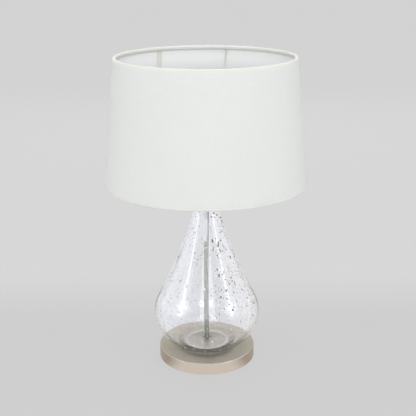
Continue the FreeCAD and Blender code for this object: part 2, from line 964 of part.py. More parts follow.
shade_ring_bottom = fitter_top + free
shade_ring_bore = thread_crest + free
shade_ring_radius = S["shade_ring_diameter"] / 2
shade_ring = turned(
    "shade_ring",
    [
        (shade_ring_bore, 0),
        (shade_ring_radius, 0),
        (shade_ring_radius, S["shade_ring_height"]),
        (shade_ring_bore, S["shade_ring_height"]),
    ],
    height=shade_ring_bottom,
)
groove = S["grip_groove"]
groove_sketch = circle_sketch(
    shade_ring, "XY_Plane", shade_ring_radius + groove / 2, 0, groove, lift=S["shade_ring_height"]
)
patterned(shade_ring, pocketed(shade_ring, groove_sketch), GRIP_COUNT)

fitter_radius = S["fitter_diameter"] / 2
fitter_bore = S["fitter_hole"] / 2
fitter_ring = turned(
    "fitter_ring",
    [
        (fitter_bore, 0),
        (fitter_radius, 0),
        (fitter_radius, S["fitter_thickness"]),
        (fitter_bore, S["fitter_thickness"]),
    ],
    height=fitter_bottom,
)

# ---------------------------------------------------------------------------------------- shade

# The shade's parts are drawn from its bottom edge upwards and set at the height where it hangs.
bottom_radius = S["shade_bottom_diameter"] / 2
top_radius = S["shade_top_diameter"] / 2
shade_height = S["shade_height"]
taper = (bottom_radius - top_radius) / shade_height
fabric = S["fabric_thickness"]
liner = S["liner_thickness"]
wire_radius = S["ring_wire"] / 2
fold = S["fold_depth"]


def cone_radius(height):
    """The fabric's outer radius at a height above the shade's bottom edge."""
    return bottom_radius - taper * height


liner_outer = fabric + S["sheet_gap"]
liner_inner = liner_outer + liner
ring_inset = liner_inner + S["ring_play"] + wire_radius
ring_level = fabric + S["ring_play"] + wire_radius
top_ring_height = shade_height - ring_level
top_ring_radius = cone_radius(top_ring_height) - ring_inset
bottom_ring_radius = cone_radius(ring_level) - ring_inset - taper * wire_radius
fold_inset = wire_radius + S["ring_play"]
top_fold_outer = top_ring_radius - fold_inset
top_fold_inner = top_fold_outer - fabric
bottom_fold_outer = bottom_ring_radius - fold_inset
bottom_fold_inner = bottom_fold_outer - fabric

# One sheet: up the outside, over the top ring and a fold's depth down inside it, and the same way
# under the bottom ring.
fabric_top_inside = shade_height - fabric
shade_fabric = turned(
    "shade_fabric",
    [
        (bottom_radius, 0),
        (top_radius, shade_height),
        (top_fold_inner, shade_height),
        (top_fold_inner, shade_height - fold),
        (top_fold_outer, shade_height - fold),
        (top_fold_outer, fabric_top_inside),
        (cone_radius(fabric_top_inside) - fabric, fabric_top_inside),
        (cone_radius(fabric) - fabric, fabric),
        (bottom_fold_outer, fabric),
        (bottom_fold_outer, fold),
        (bottom_fold_inner, fold),
        (bottom_fold_inner, 0),
    ],
    height=shade_bottom,
)
rounded(
    shade_fabric,
    S["fold_round"],
    [(bottom_radius, 0), (top_radius, shade_height), (top_fold_inner, shade_height), (bottom_fold_inner, 0)],
)
inner_round = S["fold_round"] - fabric
rounded(
    shade_fabric,
    inner_round,
    [
        (top_fold_outer, fabric_top_inside),
        (cone_radius(fabric_top_inside) - fabric, fabric_top_inside),
        (cone_radius(fabric) - fabric, fabric),
        (bottom_fold_outer, fabric),
    ],
)

liner_edge = fabric + inner_round
liner_end = shade_height - liner_edge
shade_liner = turned(
    "shade_liner",
    [
        (cone_radius(liner_edge) - liner_outer, liner_edge),
        (cone_radius(liner_end) - liner_outer, liner_end),
        (cone_radius(liner_end) - liner_inner, liner_end),
        (cone_radius(liner_edge) - liner_inner, liner_edge),
    ],
    height=shade_bottom,
)


def wire_ring(label, radius, height):
    """A ring of round wire about the axis."""
    ring = doc.addObject("Part::Torus", label)
    ring.setExpression("Radius1", radius.formula)
    ring.setExpression("Radius2", wire_radius.formula)
    ring.setExpression("Placement.Base.z", (shade_bottom + height).formula)
    return ring


top_ring = wire_ring("top_ring", top_ring_radius, top_ring_height)
bottom_ring = wire_ring("bottom_ring", bottom_ring_radius, ring_level)

# The sheet's, the liner's and the wires' ends all meet at the lap seam.
for joined_piece in (shade_fabric, shade_liner, top_ring, bottom_ring):
    joined_piece.setExpression("Placement.Rotation.Angle", S["seam_azimuth"].formula)

# The lap seam's inner edge shows as a strip on the liner between the two folds.
seam_foot = fold + fabric
seam_head = shade_height - seam_foot
seam_outer = liner_inner + S["seam_gap"]
seam_inner = seam_outer + S["seam_thickness"]
mean_radius = (bottom_radius + top_radius) / 2
seam_sweep = S["seam_width"] / mean_radius * math.degrees(1)
lap_seam = turned(
    "lap_seam",
    [
        (cone_radius(seam_foot) - seam_outer, seam_foot),
        (cone_radius(seam_head) - seam_outer, seam_head),
        (cone_radius(seam_head) - seam_inner, seam_head),
        (cone_radius(seam_foot) - seam_inner, seam_foot),
    ],
    height=shade_bottom,
    sweep=seam_sweep,
)
lap_seam.setExpression("Placement.Rotation.Angle", (S["seam_azimuth"] - seam_sweep / 2).formula)


def arm_path(body):
    """The centre line of an arm in the plane of the axis: straight down from under the top ring, in
    along the steep leg, then level to the fitter ring, with a round bend at each corner."""
    lean = S["arm_lean"]
    arm_radius = S["arm_wire"] / 2
    start = (top_ring_radius, shade_bottom + top_ring_height - wire_radius - slip)
    upper = (top_ring_radius, start[1] - S["arm_drop"])
    level = fitter_top + arm_radius + slip
    fall = upper[1] - level
    lower = (top_ring_radius - fall * trig("tan", lean), level)
    end = (shade_ring_radius + S["arm_clear"], level)
    upper_cut = S["top_bend"] * trig("tan", lean / 2)
    lower_cut = S["low_bend"] * trig("tan", (Size(90.0, "90") - lean) / 2)
    leg = (trig("sin", lean), trig("cos", lean))
    points = [
        start,
        (upper[0], upper[1] + upper_cut),
        (upper[0] - upper_cut * leg[0], upper[1] - upper_cut * leg[1]),
        (lower[0] + lower_cut * leg[0], lower[1] + lower_cut * leg[1]),
        (lower[0] - lower_cut, level),
        end,
    ]
    sketch = new_sketch(body, "XZ_Plane")
    for index in (0, 2, 4):
        line = Part.LineSegment(vector(*points[index]), vector(*points[index + 1]))
        number = sketch.addGeometry(line)
        hold(sketch, number, 1, *points[index])
        hold(sketch, number, 2, *points[index + 1])
    for before, after, bend in ((0, 1, S["top_bend"]), (1, 2, S["low_bend"])):
        add_bend(sketch, before, after, bend)
    return sketch, start, arm_radius


def add_bend(sketch, before, after, bend):
    """Joins the end of one line of a sketch to the start of the next by an arc that touches both. An arc
    of a sketch runs anticlockwise, so one that bends the path clockwise is joined end to end."""
    first, second = sketch.Geometry[before], sketch.Geometry[after]
    start, end = first.EndPoint, second.StartPoint
    forward = start - first.StartPoint
    left = FreeCAD.Vector(-forward.y, forward.x, 0).normalize()
    clockwise = left.dot(end - start) < 0
    centre = start + left * (-bend.value if clockwise else bend.value)
    angles = [math.atan2(point.y - centre.y, point.x - centre.x) for point in (start, end)]
    if clockwise:
        angles.reverse()
    if angles[1] < angles[0]:
        angles[1] += math.tau
    circle = Part.Circle(centre, FreeCAD.Vector(0, 0, 1), bend.value)
    number = sketch.addGeometry(Part.ArcOfCircle(circle, *angles))
    near, far = (2, 1) if clockwise else (1, 2)
    sketch.addConstraint(Sketcher.Constraint("Coincident", number, near, before, 2))
    sketch.addConstraint(Sketcher.Constraint("Coincident", number, far, after, 1))
    bind_radius(sketch, number, bend)


def shade_arm(number):
    """One of the bent wires that carry the shade's top ring on the fitter ring."""
    body = doc.addObject("PartDesign::Body", f"shade_arm_{number + 1}")
    path, start, arm_radius = arm_path(body)
    section = circle_sketch(body, "XY_Plane", start[0], 0, arm_radius, lift=start[1])
    pipe = body.newObject("PartDesign::AdditivePipe", f"{body.Name}_wire")
    pipe.Profile = section
    pipe.Spine = path
    body.Tip = pipe
    azimuth = S["arm_azimuth"] + FULL_TURN / ARM_COUNT * number
    body.setExpression("Placement.Rotation.Angle", azimuth.formula)
    doc.recompute()
    return body


shade_arms = [shade_arm(number) for number in range(ARM_COUNT)]

# ---------------------------------------------------------------------------------------- export

parts = [
    foot_pad, base_cover, base_weight, cord_bushing,
    stem_tube, stem_washer, lock_washer, stem_nut,
    glass_body, glass_seat, stem_grommet,
    neck_gasket, neck_cap, neck_nut,
    holder_cap, grub_screw, holder_shell, holder_core, terminal_screws, screw_shell, centre_contact,
    switch_bar,
    bulb_contact, bulb_insulator, bulb_cap, bulb_glass,
    shade_ring, fitter_ring, shade_fabric, shade_liner, top_ring, bottom_ring, lap_seam,
    *shade_arms,
]

doc.recompute()
for item in doc.Objects:
    if "Invalid" in item.State or "Error" in item.State:
        raise ValueError(f"{item.Label} failed: {item.State}")

os.makedirs("parts", exist_ok=True)
for part in parts:
    if part.Shape.isNull() or not part.Shape.isValid():
        raise ValueError(f"{part.Label} has no valid shape")
    part.Shape.exportStep(f"parts/{part.Label}.step")
    print(f"{part.Label}: {len(part.Shape.Solids)} solid(s), {part.Shape.Volume:.1f} mm3")
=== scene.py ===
"""The looks of a seeded-glass table lamp with a tapered drum shade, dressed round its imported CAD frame.

Lengths are metres in the CAD frame: Z is up, the lamp stands on z = 0 and the photograph looks along +Y.
"""

import logging
import math
from collections.abc import Callable
from dataclasses import dataclass, fields
from enum import Enum

import bpy
import numpy as np
from mathutils import Matrix, Vector


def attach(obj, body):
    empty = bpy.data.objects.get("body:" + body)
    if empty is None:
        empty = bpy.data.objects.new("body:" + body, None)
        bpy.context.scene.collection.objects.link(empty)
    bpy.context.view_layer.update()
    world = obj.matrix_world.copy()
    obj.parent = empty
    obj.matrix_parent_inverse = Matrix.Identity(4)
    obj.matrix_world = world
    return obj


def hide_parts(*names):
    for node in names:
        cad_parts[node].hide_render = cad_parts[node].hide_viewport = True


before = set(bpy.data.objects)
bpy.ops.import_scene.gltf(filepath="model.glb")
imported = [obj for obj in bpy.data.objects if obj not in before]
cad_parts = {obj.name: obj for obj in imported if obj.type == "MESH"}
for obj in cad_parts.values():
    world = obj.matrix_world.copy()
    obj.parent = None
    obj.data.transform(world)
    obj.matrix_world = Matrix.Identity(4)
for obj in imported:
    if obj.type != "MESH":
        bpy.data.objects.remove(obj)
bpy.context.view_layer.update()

LOG = logging.getLogger("lamp")
IMAGE_PIXELS = 416
SENSOR_WIDTH = 36.0
FULL_TURN = 2 * math.pi
MM = 0.001
LOOK = "look_"
FLAT_MAP = "flat"
DUST_COLOUR = (214, 212, 206)
NODES_A_ROW = 8
NODE_SPACING = (180, -220)

Colour = tuple[float, float, float]
Light = tuple[float, float, float]
Place = tuple[float, float, float]
Span = tuple[float, float]
Socket = bpy.types.NodeSocket


# ---- Node graphs


def linear(colour: Colour) -> tuple[float, float, float, float]:
    """A colour as written, 0 to 255 a channel, in the linear light that a socket takes.

    Args:
        colour: red, green and blue from 0 to 255.

    Returns:
        Linear red, green, blue and an alpha of 1.
    """
    share = np.asarray(colour, float) / 255
    straight = np.where(share <= 0.04045, share / 12.92, ((share + 0.055) / 1.055) ** 2.4)
    return (*(float(channel) for channel in straight), 1.0)


def darker(colour: Colour, share: float) -> tuple[float, float, float, float]:
    """A colour's linear light with a share of it taken away."""
    return (*(channel * (1 - share) for channel in linear(colour)[:3]), 1.0)


class Graph:
    """Adds nodes to a tree and links them; an input takes a socket or a constant."""

    def __init__(self, tree: bpy.types.NodeTree) -> None:
        """Keeps the tree that the nodes go into."""
        self.tree = tree

    def add(self, kind: str, inputs: dict | None = None, **settings) -> bpy.types.Node:
        """Adds one node.

        Args:
            kind: the node's type name.
            inputs: input name or number to a socket or a constant.
            settings: the node's own properties.

        Returns:
            The new node.
        """
        node = self.tree.nodes.new(kind)
        row, column = divmod(len(self.tree.nodes), NODES_A_ROW)
        node.location = (NODE_SPACING[0] * column, NODE_SPACING[1] * row)
        for name, value in settings.items():
            setattr(node, name, value)
        self.feed(node, inputs or {})
        return node

    def feed(self, node: bpy.types.Node, inputs: dict) -> None:
        """Links a node's inputs to sockets, or sets their constants.

        Args:
            node: the node.
            inputs: input name or number to a socket or a constant.
        """
        for name, value in inputs.items():
            if isinstance(value, bpy.types.NodeSocket):
                self.tree.links.new(value, node.inputs[name])
            else:
                node.inputs[name].default_value = value

    def math(self, operation: str, *values: Socket | float) -> Socket:
        """The result of a Math node on one to three values."""
        return self.add("ShaderNodeMath", dict(enumerate(values)), operation=operation).outputs[0]

    def times(self, first: Socket | float, *others: Socket | float) -> Socket:
        """The product of two or more values.

        Args:
            first: the first value.
            others: the values that it is multiplied by.

        Returns:
            The product.
        """
        for other in others:
            first = self.math("MULTIPLY", first, other)
        return first

    def vector(self, operation: str, *values: Socket | tuple) -> Socket:
        """The vector that a Vector Math node makes of its vectors."""
        return self.add("ShaderNodeVectorMath", dict(enumerate(values)), operation=operation).outputs[0]

    def scaled(self, vector: Socket | tuple, factor: Socket) -> Socket:
        """A vector or colour times a number."""
        return self.add("ShaderNodeVectorMath", {0: vector, "Scale": factor}, operation="SCALE").outputs[0]

    def split(self, vector: Socket) -> tuple[Socket, Socket, Socket]:
        """The three coordinates of a vector."""
        return tuple(self.add("ShaderNodeSeparateXYZ", {0: vector}).outputs)

    def joined(self, x: Socket | float, y: Socket | float, z: Socket | float) -> Socket:
        """A vector of three coordinates."""
        return self.add("ShaderNodeCombineXYZ", {0: x, 1: y, 2: z}).outputs[0]

    def flat(self, vector: Socket) -> Socket:
        """A vector without its height."""
        return self.vector("MULTIPLY", vector, (1.0, 1.0, 0.0))

    def radius(self, vector: Socket) -> Socket:
        """A place's distance from the Z axis."""
        return self.add("ShaderNodeVectorMath", {0: self.flat(vector)}, operation="LENGTH").outputs["Value"]

    def ranged(self, value: Socket, old: Span, new: tuple = (0.0, 1.0), kind: str = "LINEAR") -> Socket:
        """A value carried from one range to another and held inside it.

        Args:
            value: the value.
            old: the range that it comes from.
            new: the range that it goes to.
            kind: how it gets there, SMOOTHSTEP for soft ends.

        Returns:
            The value in the new range.
        """
        limits = {"From Min": old[0], "From Max": old[1], "To Min": new[0], "To Max": new[1]}
        node = self.add("ShaderNodeMapRange", {"Value": value, **limits}, interpolation_type=kind)
        return node.outputs["Result"]

    def eased(self, value: Socket, old: Span, new: tuple = (0.0, 1.0)) -> Socket:
        """The same with soft ends."""
        return self.ranged(value, old, new, "SMOOTHSTEP")

    def tint(self, factor: Socket | float, low: Socket | tuple, high: Socket | tuple) -> Socket:
        """A colour between low and high by a factor."""
        return self.add("ShaderNodeMix", {0: factor, 6: low, 7: high}, data_type="RGBA").outputs[2]

    def mixed(self, factor: Socket, low: Socket, high: Socket) -> Socket:
        """A shader between low and high by a factor."""
        return self.add("ShaderNodeMixShader", {0: factor, 1: low, 2: high}).outputs[0]

    def noise(self, vector: Socket, scale: Socket | float, detail: float = 2.0) -> Socket:
        """Smooth noise from 0 to 1."""
        return self.add("ShaderNodeTexNoise", {"Vector": vector, "Scale": scale, "Detail": detail}).outputs["Fac"]

    def facing(self) -> Socket:
        """0 where the surface faces the eye, and 1 where it turns away."""
        return self.add("ShaderNodeLayerWeight", {"Blend": 0.5}).outputs["Facing"]


def emptied(owner: bpy.types.Material | bpy.types.World) -> bpy.types.NodeTree:
    """A material's or a world's node tree without its nodes.

    Args:
        owner: the material or the world.

    Returns:
        Its tree.
    """
    owner.use_nodes = True
    owner.node_tree.nodes.clear()
    return owner.node_tree


Sockets = bpy.types.bpy_prop_collection
Results = tuple[Socket, ...]
Builder = Callable[[Graph, Sockets], Results]


class SharedEffect(Enum):
    """The effects that several finishes use, each a node group that is built once."""

    CLOUDS = "cloudy_tone"
    GRAIN = "brushed_grain"
    PORES = "fine_pores"
    WEAVE = "plain_weave"
    DUST = "settled_dust"

    def tree(self) -> bpy.types.NodeTree:
        """The effect's node group, built on its first use."""
        return bpy.data.node_groups.get(self.value) or new_effect(self.value, *EFFECTS[self])


def new_effect(name: str, build: Builder, inputs: dict[str, float], outputs: tuple[str, ...]) -> bpy.types.NodeTree:
    """Makes an effect's node group.

    Args:
        name: the group's name.
        build: adds its nodes to a graph, from its input sockets by name, and gives its results in order.
        inputs: input name to a default number, without the vector that every effect takes.
        outputs: names of its results.

    Returns:
        The group.
    """
    tree = bpy.data.node_groups.new(name, "ShaderNodeTree")
    tree.interface.new_socket(name="Vector", in_out="INPUT", socket_type="NodeSocketVector")
    for label, default in inputs.items():
        socket = tree.interface.new_socket(name=label, in_out="INPUT", socket_type="NodeSocketFloat")
        socket.default_value = default
    for label in outputs:
        tree.interface.new_socket(name=label, in_out="OUTPUT", socket_type="NodeSocketFloat")
    graph = Graph(tree)
    results = build(graph, graph.add("NodeGroupInput").outputs)
    graph.add("NodeGroupOutput", dict(zip(outputs, results)))
    return tree


def build_clouds(graph: Graph, given: Sockets) -> Results:
    """Cloudy tone: two noises, one three times finer, averaged and stretched to the range Low to High.

    Args:
        graph: the group's graph.
        given: its input sockets by name.

    Returns:
        The tone.
    """
    coarse = graph.noise(given["Vector"], given["Scale"])
    fine = graph.noise(given["Vector"], graph.times(given["Scale"], 3.1), 4.0)
    both = graph.times(graph.math("ADD", coarse, fine), 0.5)
    return (graph.ranged(both, (0.32, 0.68), (given["Low"], given["High"])),)


def build_grain(graph: Graph, given: Sockets) -> Results:
    """Brushed grain: noise on a vector whose third coordinate, along the brushing, is squeezed by Stretch.

    Args:
        graph: the group's graph.
        given: its input sockets by name.

    Returns:
        The lines' height, 0 to 1.
    """
    x, y, z = graph.split(given["Vector"])
    lines = graph.noise(graph.joined(x, y, graph.times(z, given["Stretch"])), given["Scale"], 3.0)
    return (graph.ranged(lines, (0.3, 0.7)),)


def build_pores(graph: Graph, given: Sockets) -> Results:
    """Fine pores of a moulded skin: small round cells that sink at their middles, over a soft swell.

    Args:
        graph: the group's graph.
        given: its input sockets by name.

    Returns:
        The skin's height.
    """
    cells = graph.add("ShaderNodeTexVoronoi", {"Vector": given["Vector"], "Scale": given["Scale"]})
    pits = graph.eased(cells.outputs["Distance"], (0.0, 0.6))
    swell = graph.noise(given["Vector"], graph.times(given["Scale"], 0.15))
    return (graph.math("ADD", graph.times(pits, 0.6), swell),)


def build_weave(graph: Graph, given: Sockets) -> Results:
    """Plain weave on flat cloth coordinates in metres: the round tops of the warp show where a checker of
    thread crossings is on, those of the weft where it is off. Slubs are noises drawn out along each set.

    Args:
        graph: the group's graph.
        given: its input sockets by name.

    Returns:
        The threads' height and the slubs, both 0 to 1.
    """
    u, v, _ = graph.split(given["Vector"])
    wander = graph.times(graph.noise(given["Vector"], 60.0), given["Pitch"])
    across, along = (graph.math("DIVIDE", graph.math("ADD", way, wander), given["Pitch"]) for way in (u, v))

    def crest(count: Socket) -> Socket:
        """How high a thread's round top stands: the sine's size over each whole number."""
        return graph.math("ABSOLUTE", graph.math("SINE", graph.times(count, math.pi)))

    def odd(count: Socket) -> Socket:
        """1 on every second thread, else 0."""
        return graph.math("MODULO", graph.math("FLOOR", graph.math("ADD", count, 10000.0)), 2.0)

    over = graph.math("ABSOLUTE", graph.math("SUBTRACT", odd(across), odd(along)))
    warp = graph.times(crest(across), over)
    weft = graph.times(crest(along), graph.math("SUBTRACT", 1.0, over))
    thin = graph.math("DIVIDE", 1.0, graph.times(given["Pitch"], 2.2))
    long = graph.math("DIVIDE", 1.0, given["Slub Length"])
    streaks = []
    for first, second in ((thin, long), (long, thin)):
        place = graph.joined(graph.times(u, first), graph.times(v, second), 0.0)
        streaks.append(graph.ranged(graph.noise(place, 1.0, 3.0), (0.42, 0.78)))
    return graph.math("ADD", warp, weft), graph.math("MAXIMUM", *streaks)


def build_dust(graph: Graph, given: Sockets) -> Results:
    """Settled dust: a cloudy mask on faces that look up.

    Args:
        graph: the group's graph.
        given: its input sockets by name.

    Returns:
        The share of dust.
    """
    upward = graph.split(graph.add("ShaderNodeNewGeometry").outputs["Normal"])[2]
    patches = graph.ranged(graph.noise(given["Vector"], given["Scale"], 6.0), (0.35, 0.75), (0.2, 1.0))
    return (graph.times(patches, graph.eased(upward, (0.4, 0.95))),)


EFFECTS = {
    SharedEffect.CLOUDS: (build_clouds, {"Scale": 20.0, "Low": 0.0, "High": 1.0}, ("Value",)),
    SharedEffect.GRAIN: (build_grain, {"Scale": 900.0, "Stretch": 0.004}, ("Height",)),
    SharedEffect.PORES: (build_pores, {"Scale": 1500.0}, ("Height",)),
    SharedEffect.WEAVE: (build_weave, {"Pitch": 0.0006, "Slub Length": 0.03}, ("Height", "Slub")),
    SharedEffect.DUST: (build_dust, {"Scale": 60.0}, ("Mask",)),
}


# ---- Finishes


class Skin(Graph):
    """The graph of a finish's material, round its shader and the place on the piece."""

    def __init__(self, made: bpy.types.Material) -> None:
        """Empties the material's tree and shows a Principled shader.

        Args:
            made: the material.
        """
        super().__init__(emptied(made))
        self.shader = self.add("ShaderNodeBsdfPrincipled")
        self.add("ShaderNodeOutputMaterial", {"Surface": self.shader.outputs[0]})
        self.place = self.add("ShaderNodeTexCoord").outputs["Object"]

    def effect(self, kind: SharedEffect, **inputs) -> Sockets:
        """A shared effect's outputs, at the place on the piece unless its inputs say another."""
        return self.add("ShaderNodeGroup", {"Vector": self.place, **inputs}, node_tree=kind.tree()).outputs

    def clouds(self, scale: float, low: float = 0.0, high: float = 1.0) -> Socket:
        """A cloudy number between low and high."""
        return self.effect(SharedEffect.CLOUDS, Scale=scale, Low=low, High=high)[0]

    def height(self) -> Socket:
        """The height of the place."""
        return self.split(self.place)[2]

    def retint(self, factor: Socket, colour: Socket | tuple) -> None:
        """Carries the base colour towards another by a factor."""
        tone = self.shader.inputs["Base Color"].links[0].from_socket
        self.feed(self.shader, {"Base Color": self.tint(factor, tone, colour)})

    def bump(self, height: Socket, strength: float, depth: float) -> None:
        """Feeds a height from 0 to 1 to the shader's normal; 1 stands by the depth above 0."""
        node = self.add("ShaderNodeBump", {"Height": height, "Strength": strength, "Distance": depth})
        self.feed(self.shader, {"Normal": node.outputs["Normal"]})


@dataclass(frozen=True)
class Finish:
    """A plain dielectric finish, which the other kinds add to."""

    name: str
    colour: Colour
    roughness: float = 0.5  # the middle of its range
    uneven: float = 0.06  # how far roughness goes to each side of its middle
    cloud_scale: float = 40.0  # clouds of tone a metre
    tone_shift: float = 0.06  # how much darker the dark clouds are, as a share
    dust: float = 0.0  # how much settled dust lightens faces that look up, as a share
    # Under the range of rise a second colour: a real second tone on the base's cover, and on the liner a painted shade
    # that darkens its lower inside.
    low_tone_and_painted_shade: Colour | None = None  # the colour under the range of rise, or None for one all over
    low_roughness: float | None = None  # the roughness under it, or None for one all over
    rise: Span = (0.0, 1.0)  # the heights between which it changes to the colour above

    def material(self) -> bpy.types.Material:
        """The finish's material, built on its first use. The frame brings plain ones with names of their own."""
        return bpy.data.materials.get(LOOK + self.name) or self.build()

    def build(self) -> bpy.types.Material:
        """Builds the material: a Principled shader fed with cloudy tone, dust and the kind's own detail.

        Returns:
            The material.
        """
        made = bpy.data.materials.new(LOOK + self.name)
        skin = Skin(made)
        skin.feed(skin.shader, {"Base Color": self.tone(skin)})
        if self.dust:
            share = skin.times(skin.effect(SharedEffect.DUST)["Mask"], self.dust)
            skin.retint(share, linear(DUST_COLOUR))
        spread = (max(self.roughness - self.uneven, 0.0), min(self.roughness + self.uneven, 1.0))
        rough = skin.clouds(self.cloud_scale * 2, *spread)
        if self.low_roughness is not None:
            upper = skin.ranged(skin.height(), self.rise)
            below = skin.times(skin.math("SUBTRACT", 1.0, upper), self.low_roughness)
            rough = skin.math("ADD", skin.times(rough, upper), below)
        skin.feed(skin.shader, {"Roughness": rough})
        self.detail(skin)
        return made

    def tone(self, skin: Skin) -> Socket:
        """The base colour: clouds between the colour and a darker shade of it.

        Args:
            skin: the material's graph.

        Returns:
            The colour's socket.
        """
        tone = skin.tint(skin.clouds(self.cloud_scale), darker(self.colour, self.tone_shift), linear(self.colour))
        if self.low_tone_and_painted_shade is None:
            return tone
        # Below the rise the colour goes to the low one, which on the liner is painted shade.
        return skin.tint(skin.ranged(skin.height(), self.rise), linear(self.low_tone_and_painted_shade), tone)

    def detail(self, skin: Skin) -> None:
        """Adds what only this kind of finish has. A plain finish has nothing more."""


class Brushing(Enum):
    """Which way a metal's fine lines run."""

    NONE = "none"
    AROUND = "around the axis"
    ALONG = "along the axis"


@dataclass(frozen=True)
class Metal(Finish):
    """A metal with brushed lines or a cast skin, and for a tube a painted highlight: its upper part painted bright,
    with a painted dark edge on one side.
    """

    brushing: Brushing = Brushing.NONE
    line_scale: float = 1500.0  # lines a metre
    line_depth: float = 0.000004
    # The painted highlight on a tube: a bright colour painted over its upper part, and painted shade on one edge of
    # it.
    bright_above: float = 0.0  # the height from which it is bright, or 0
    bright_fade: float = 0.004  # how far to each side of that height the change reaches
    bright_colour: Colour = (242, 245, 246)
    edge_colour: Colour = (112, 124, 122)  # of the edges of the bright part
    edge_facing: Span = (0.09, 0.3)  # how far the surface turns away from the eye where an edge starts and is full
    edge_across: Span = (-0.0035, -0.001)  # from where to where across the piece the edges come in

    def detail(self, skin: Skin) -> None:
        """Makes the shader a metal and adds its lines. Round lines are noise on radius, height and the
        turn in radians; lines along the axis are noise drawn out in height.

        Args:
            skin: the material's graph.
        """
        skin.feed(skin.shader, {"Metallic": 1.0})
        x, y, z = skin.split(skin.place)
        # Painted highlight: above a set height the tube is painted bright, and its right edge, where it turns from the
        # eye, is painted dark; both stand in for what the polished tube reflects.
        if self.bright_above:
            upper = skin.ranged(z, (self.bright_above - self.bright_fade, self.bright_above + self.bright_fade))
            edge = skin.times(skin.ranged(skin.facing(), self.edge_facing), skin.ranged(x, self.edge_across))
            skin.retint(upper, skin.tint(edge, linear(self.bright_colour), linear(self.edge_colour)))
        if self.brushing is Brushing.NONE:
            height = skin.effect(SharedEffect.PORES, Scale=self.line_scale)
        elif self.brushing is Brushing.ALONG:
            height = skin.effect(SharedEffect.GRAIN, Scale=self.line_scale)
        else:
            round_place = skin.joined(skin.radius(skin.place), z, skin.math("ARCTAN2", y, x))
            height = skin.effect(SharedEffect.GRAIN, Vector=round_place, Scale=self.line_scale)
        skin.bump(height["Height"], 0.5, self.line_depth)


@dataclass(frozen=True)
class Moulded(Finish):
    """A plastic, rubber, foam or enamelled skin."""

    pore_scale: float = 1800.0  # pores a metre
    pore_depth: float = 0.00003
    see_through: float = 0.0  # how much light goes through, as a share

    def detail(self, skin: Skin) -> None:
        """Adds the skin's pores, and its see-through share."""
        skin.feed(skin.shader, {"Transmission Weight": self.see_through})
        skin.bump(skin.effect(SharedEffect.PORES, Scale=self.pore_scale)["Height"], 0.4, self.pore_depth)


@dataclass(frozen=True)
class Glass(Finish):
    """Clear glass with a soft ripple, and a dark tint in the edges of its thick heel that is partly the thick glass's
    own colour and partly painted shade.
    """

    bend: float = 1.5  # the index of refraction
    ripple_scale: float = 55.0  # ripples a metre
    ripple_depth: float = 0.0001
    ripple_draw: float = 0.35  # how their height coordinate is drawn out
    heel_radii: Span | None = None  # the radii between which the tint comes in, or None for no tint
    heel_heights: Span = (0.047, 0.062)  # the heights between which it goes out again
    heel_tint_and_shade: Colour = (96, 93, 68)
    heel_edge: Span = (0.55, 0.8)  # how far the surface turns away from the eye where the tint starts and is full

    def detail(self, skin: Skin) -> None:
        """Lets the light through and adds ripples that are drawn out up the wall.

        Args:
            skin: the material's graph.
        """
        skin.feed(skin.shader, {"Metallic": 0.0, "Transmission Weight": 1.0, "IOR": self.bend})
        # The heel's edges, where the surface turns from the eye, are painted dark olive: partly the tint of thick
        # glass, partly painted shade for what the heel refracts.
        if self.heel_radii:
            low = skin.eased(skin.height(), self.heel_heights, (1.0, 0.0))
            wide = skin.ranged(skin.radius(skin.place), self.heel_radii)
            thick = skin.times(low, wide, skin.eased(skin.facing(), self.heel_edge))
            skin.retint(thick, linear(self.heel_tint_and_shade))
        drawn = skin.vector("MULTIPLY", skin.place, (1.0, 1.0, self.ripple_draw))
        skin.bump(skin.noise(drawn, self.ripple_scale), 0.5, self.ripple_depth)


@dataclass(frozen=True)
class Linen(Finish):
    """Woven cloth on the piece's own flat coordinates, with doubled hems."""

    thread: float = 0.0006  # from thread to thread
    slub_tone: float = 0.05  # how much a slub changes the tone, as a share
    hem_bands: tuple[Span, ...] = ()  # lowest and highest heights of the doubled cloth
    hem_colour: Colour = (238, 238, 230)
    hem_share: float = 0.85  # how much of that colour shows in a hem
    hem_fade: float = 0.005  # how far past a hem it reaches
    sheen: float = 0.15

    def detail(self, skin: Skin) -> None:
        """Adds the threads' relief, the slubs' tone and the warmer hems.

        Args:
            skin: the material's graph.
        """
        flat = skin.add("ShaderNodeUVMap", uv_map=FLAT_MAP).outputs[0]
        weave = skin.effect(SharedEffect.WEAVE, Vector=flat, Pitch=self.thread)
        skin.retint(weave["Slub"], darker(self.colour, self.slub_tone))
        height = skin.height()
        for low, high in self.hem_bands:
            middle, half = (low + high) / 2, (high - low) / 2
            away = skin.math("ABSOLUTE", skin.math("SUBTRACT", height, middle))
            inside = skin.eased(away, (half, half + self.hem_fade), (self.hem_share, 0.0))
            skin.retint(inside, linear(self.hem_colour))
        skin.feed(skin.shader, {"Sheen Weight": self.sheen, "Sheen Roughness": 0.5})
        skin.bump(weave["Height"], 0.5, self.thread * 0.3)


# ---- Mesh making


def grid_faces(rows: int, columns: int, closed_rows: bool = True) -> np.ndarray:
    """The quads of a grid of points whose last column joins the first.

    Args:
        rows: points along the first parameter.
        columns: points along the second.
        closed_rows: whether the last row joins the first.

    Returns:
        Four point numbers a face. A face goes along the columns first, so a profile that runs up the
        outside and down the inside faces outwards when its columns run anticlockwise.
    """
    rows_used = np.arange(rows if closed_rows else rows - 1)
    row, left = np.meshgrid(rows_used, np.arange(columns), indexing="ij")
    below, above, right = row * columns, (row + 1) % rows * columns, (left + 1) % columns
    return np.stack([below + left, below + right, above + right, above + left], -1).reshape(-1, 4)


def steps_round(count: int) -> np.ndarray:
    """The turns of a full circle's even steps, in radians."""
    return np.arange(count) * FULL_TURN / count


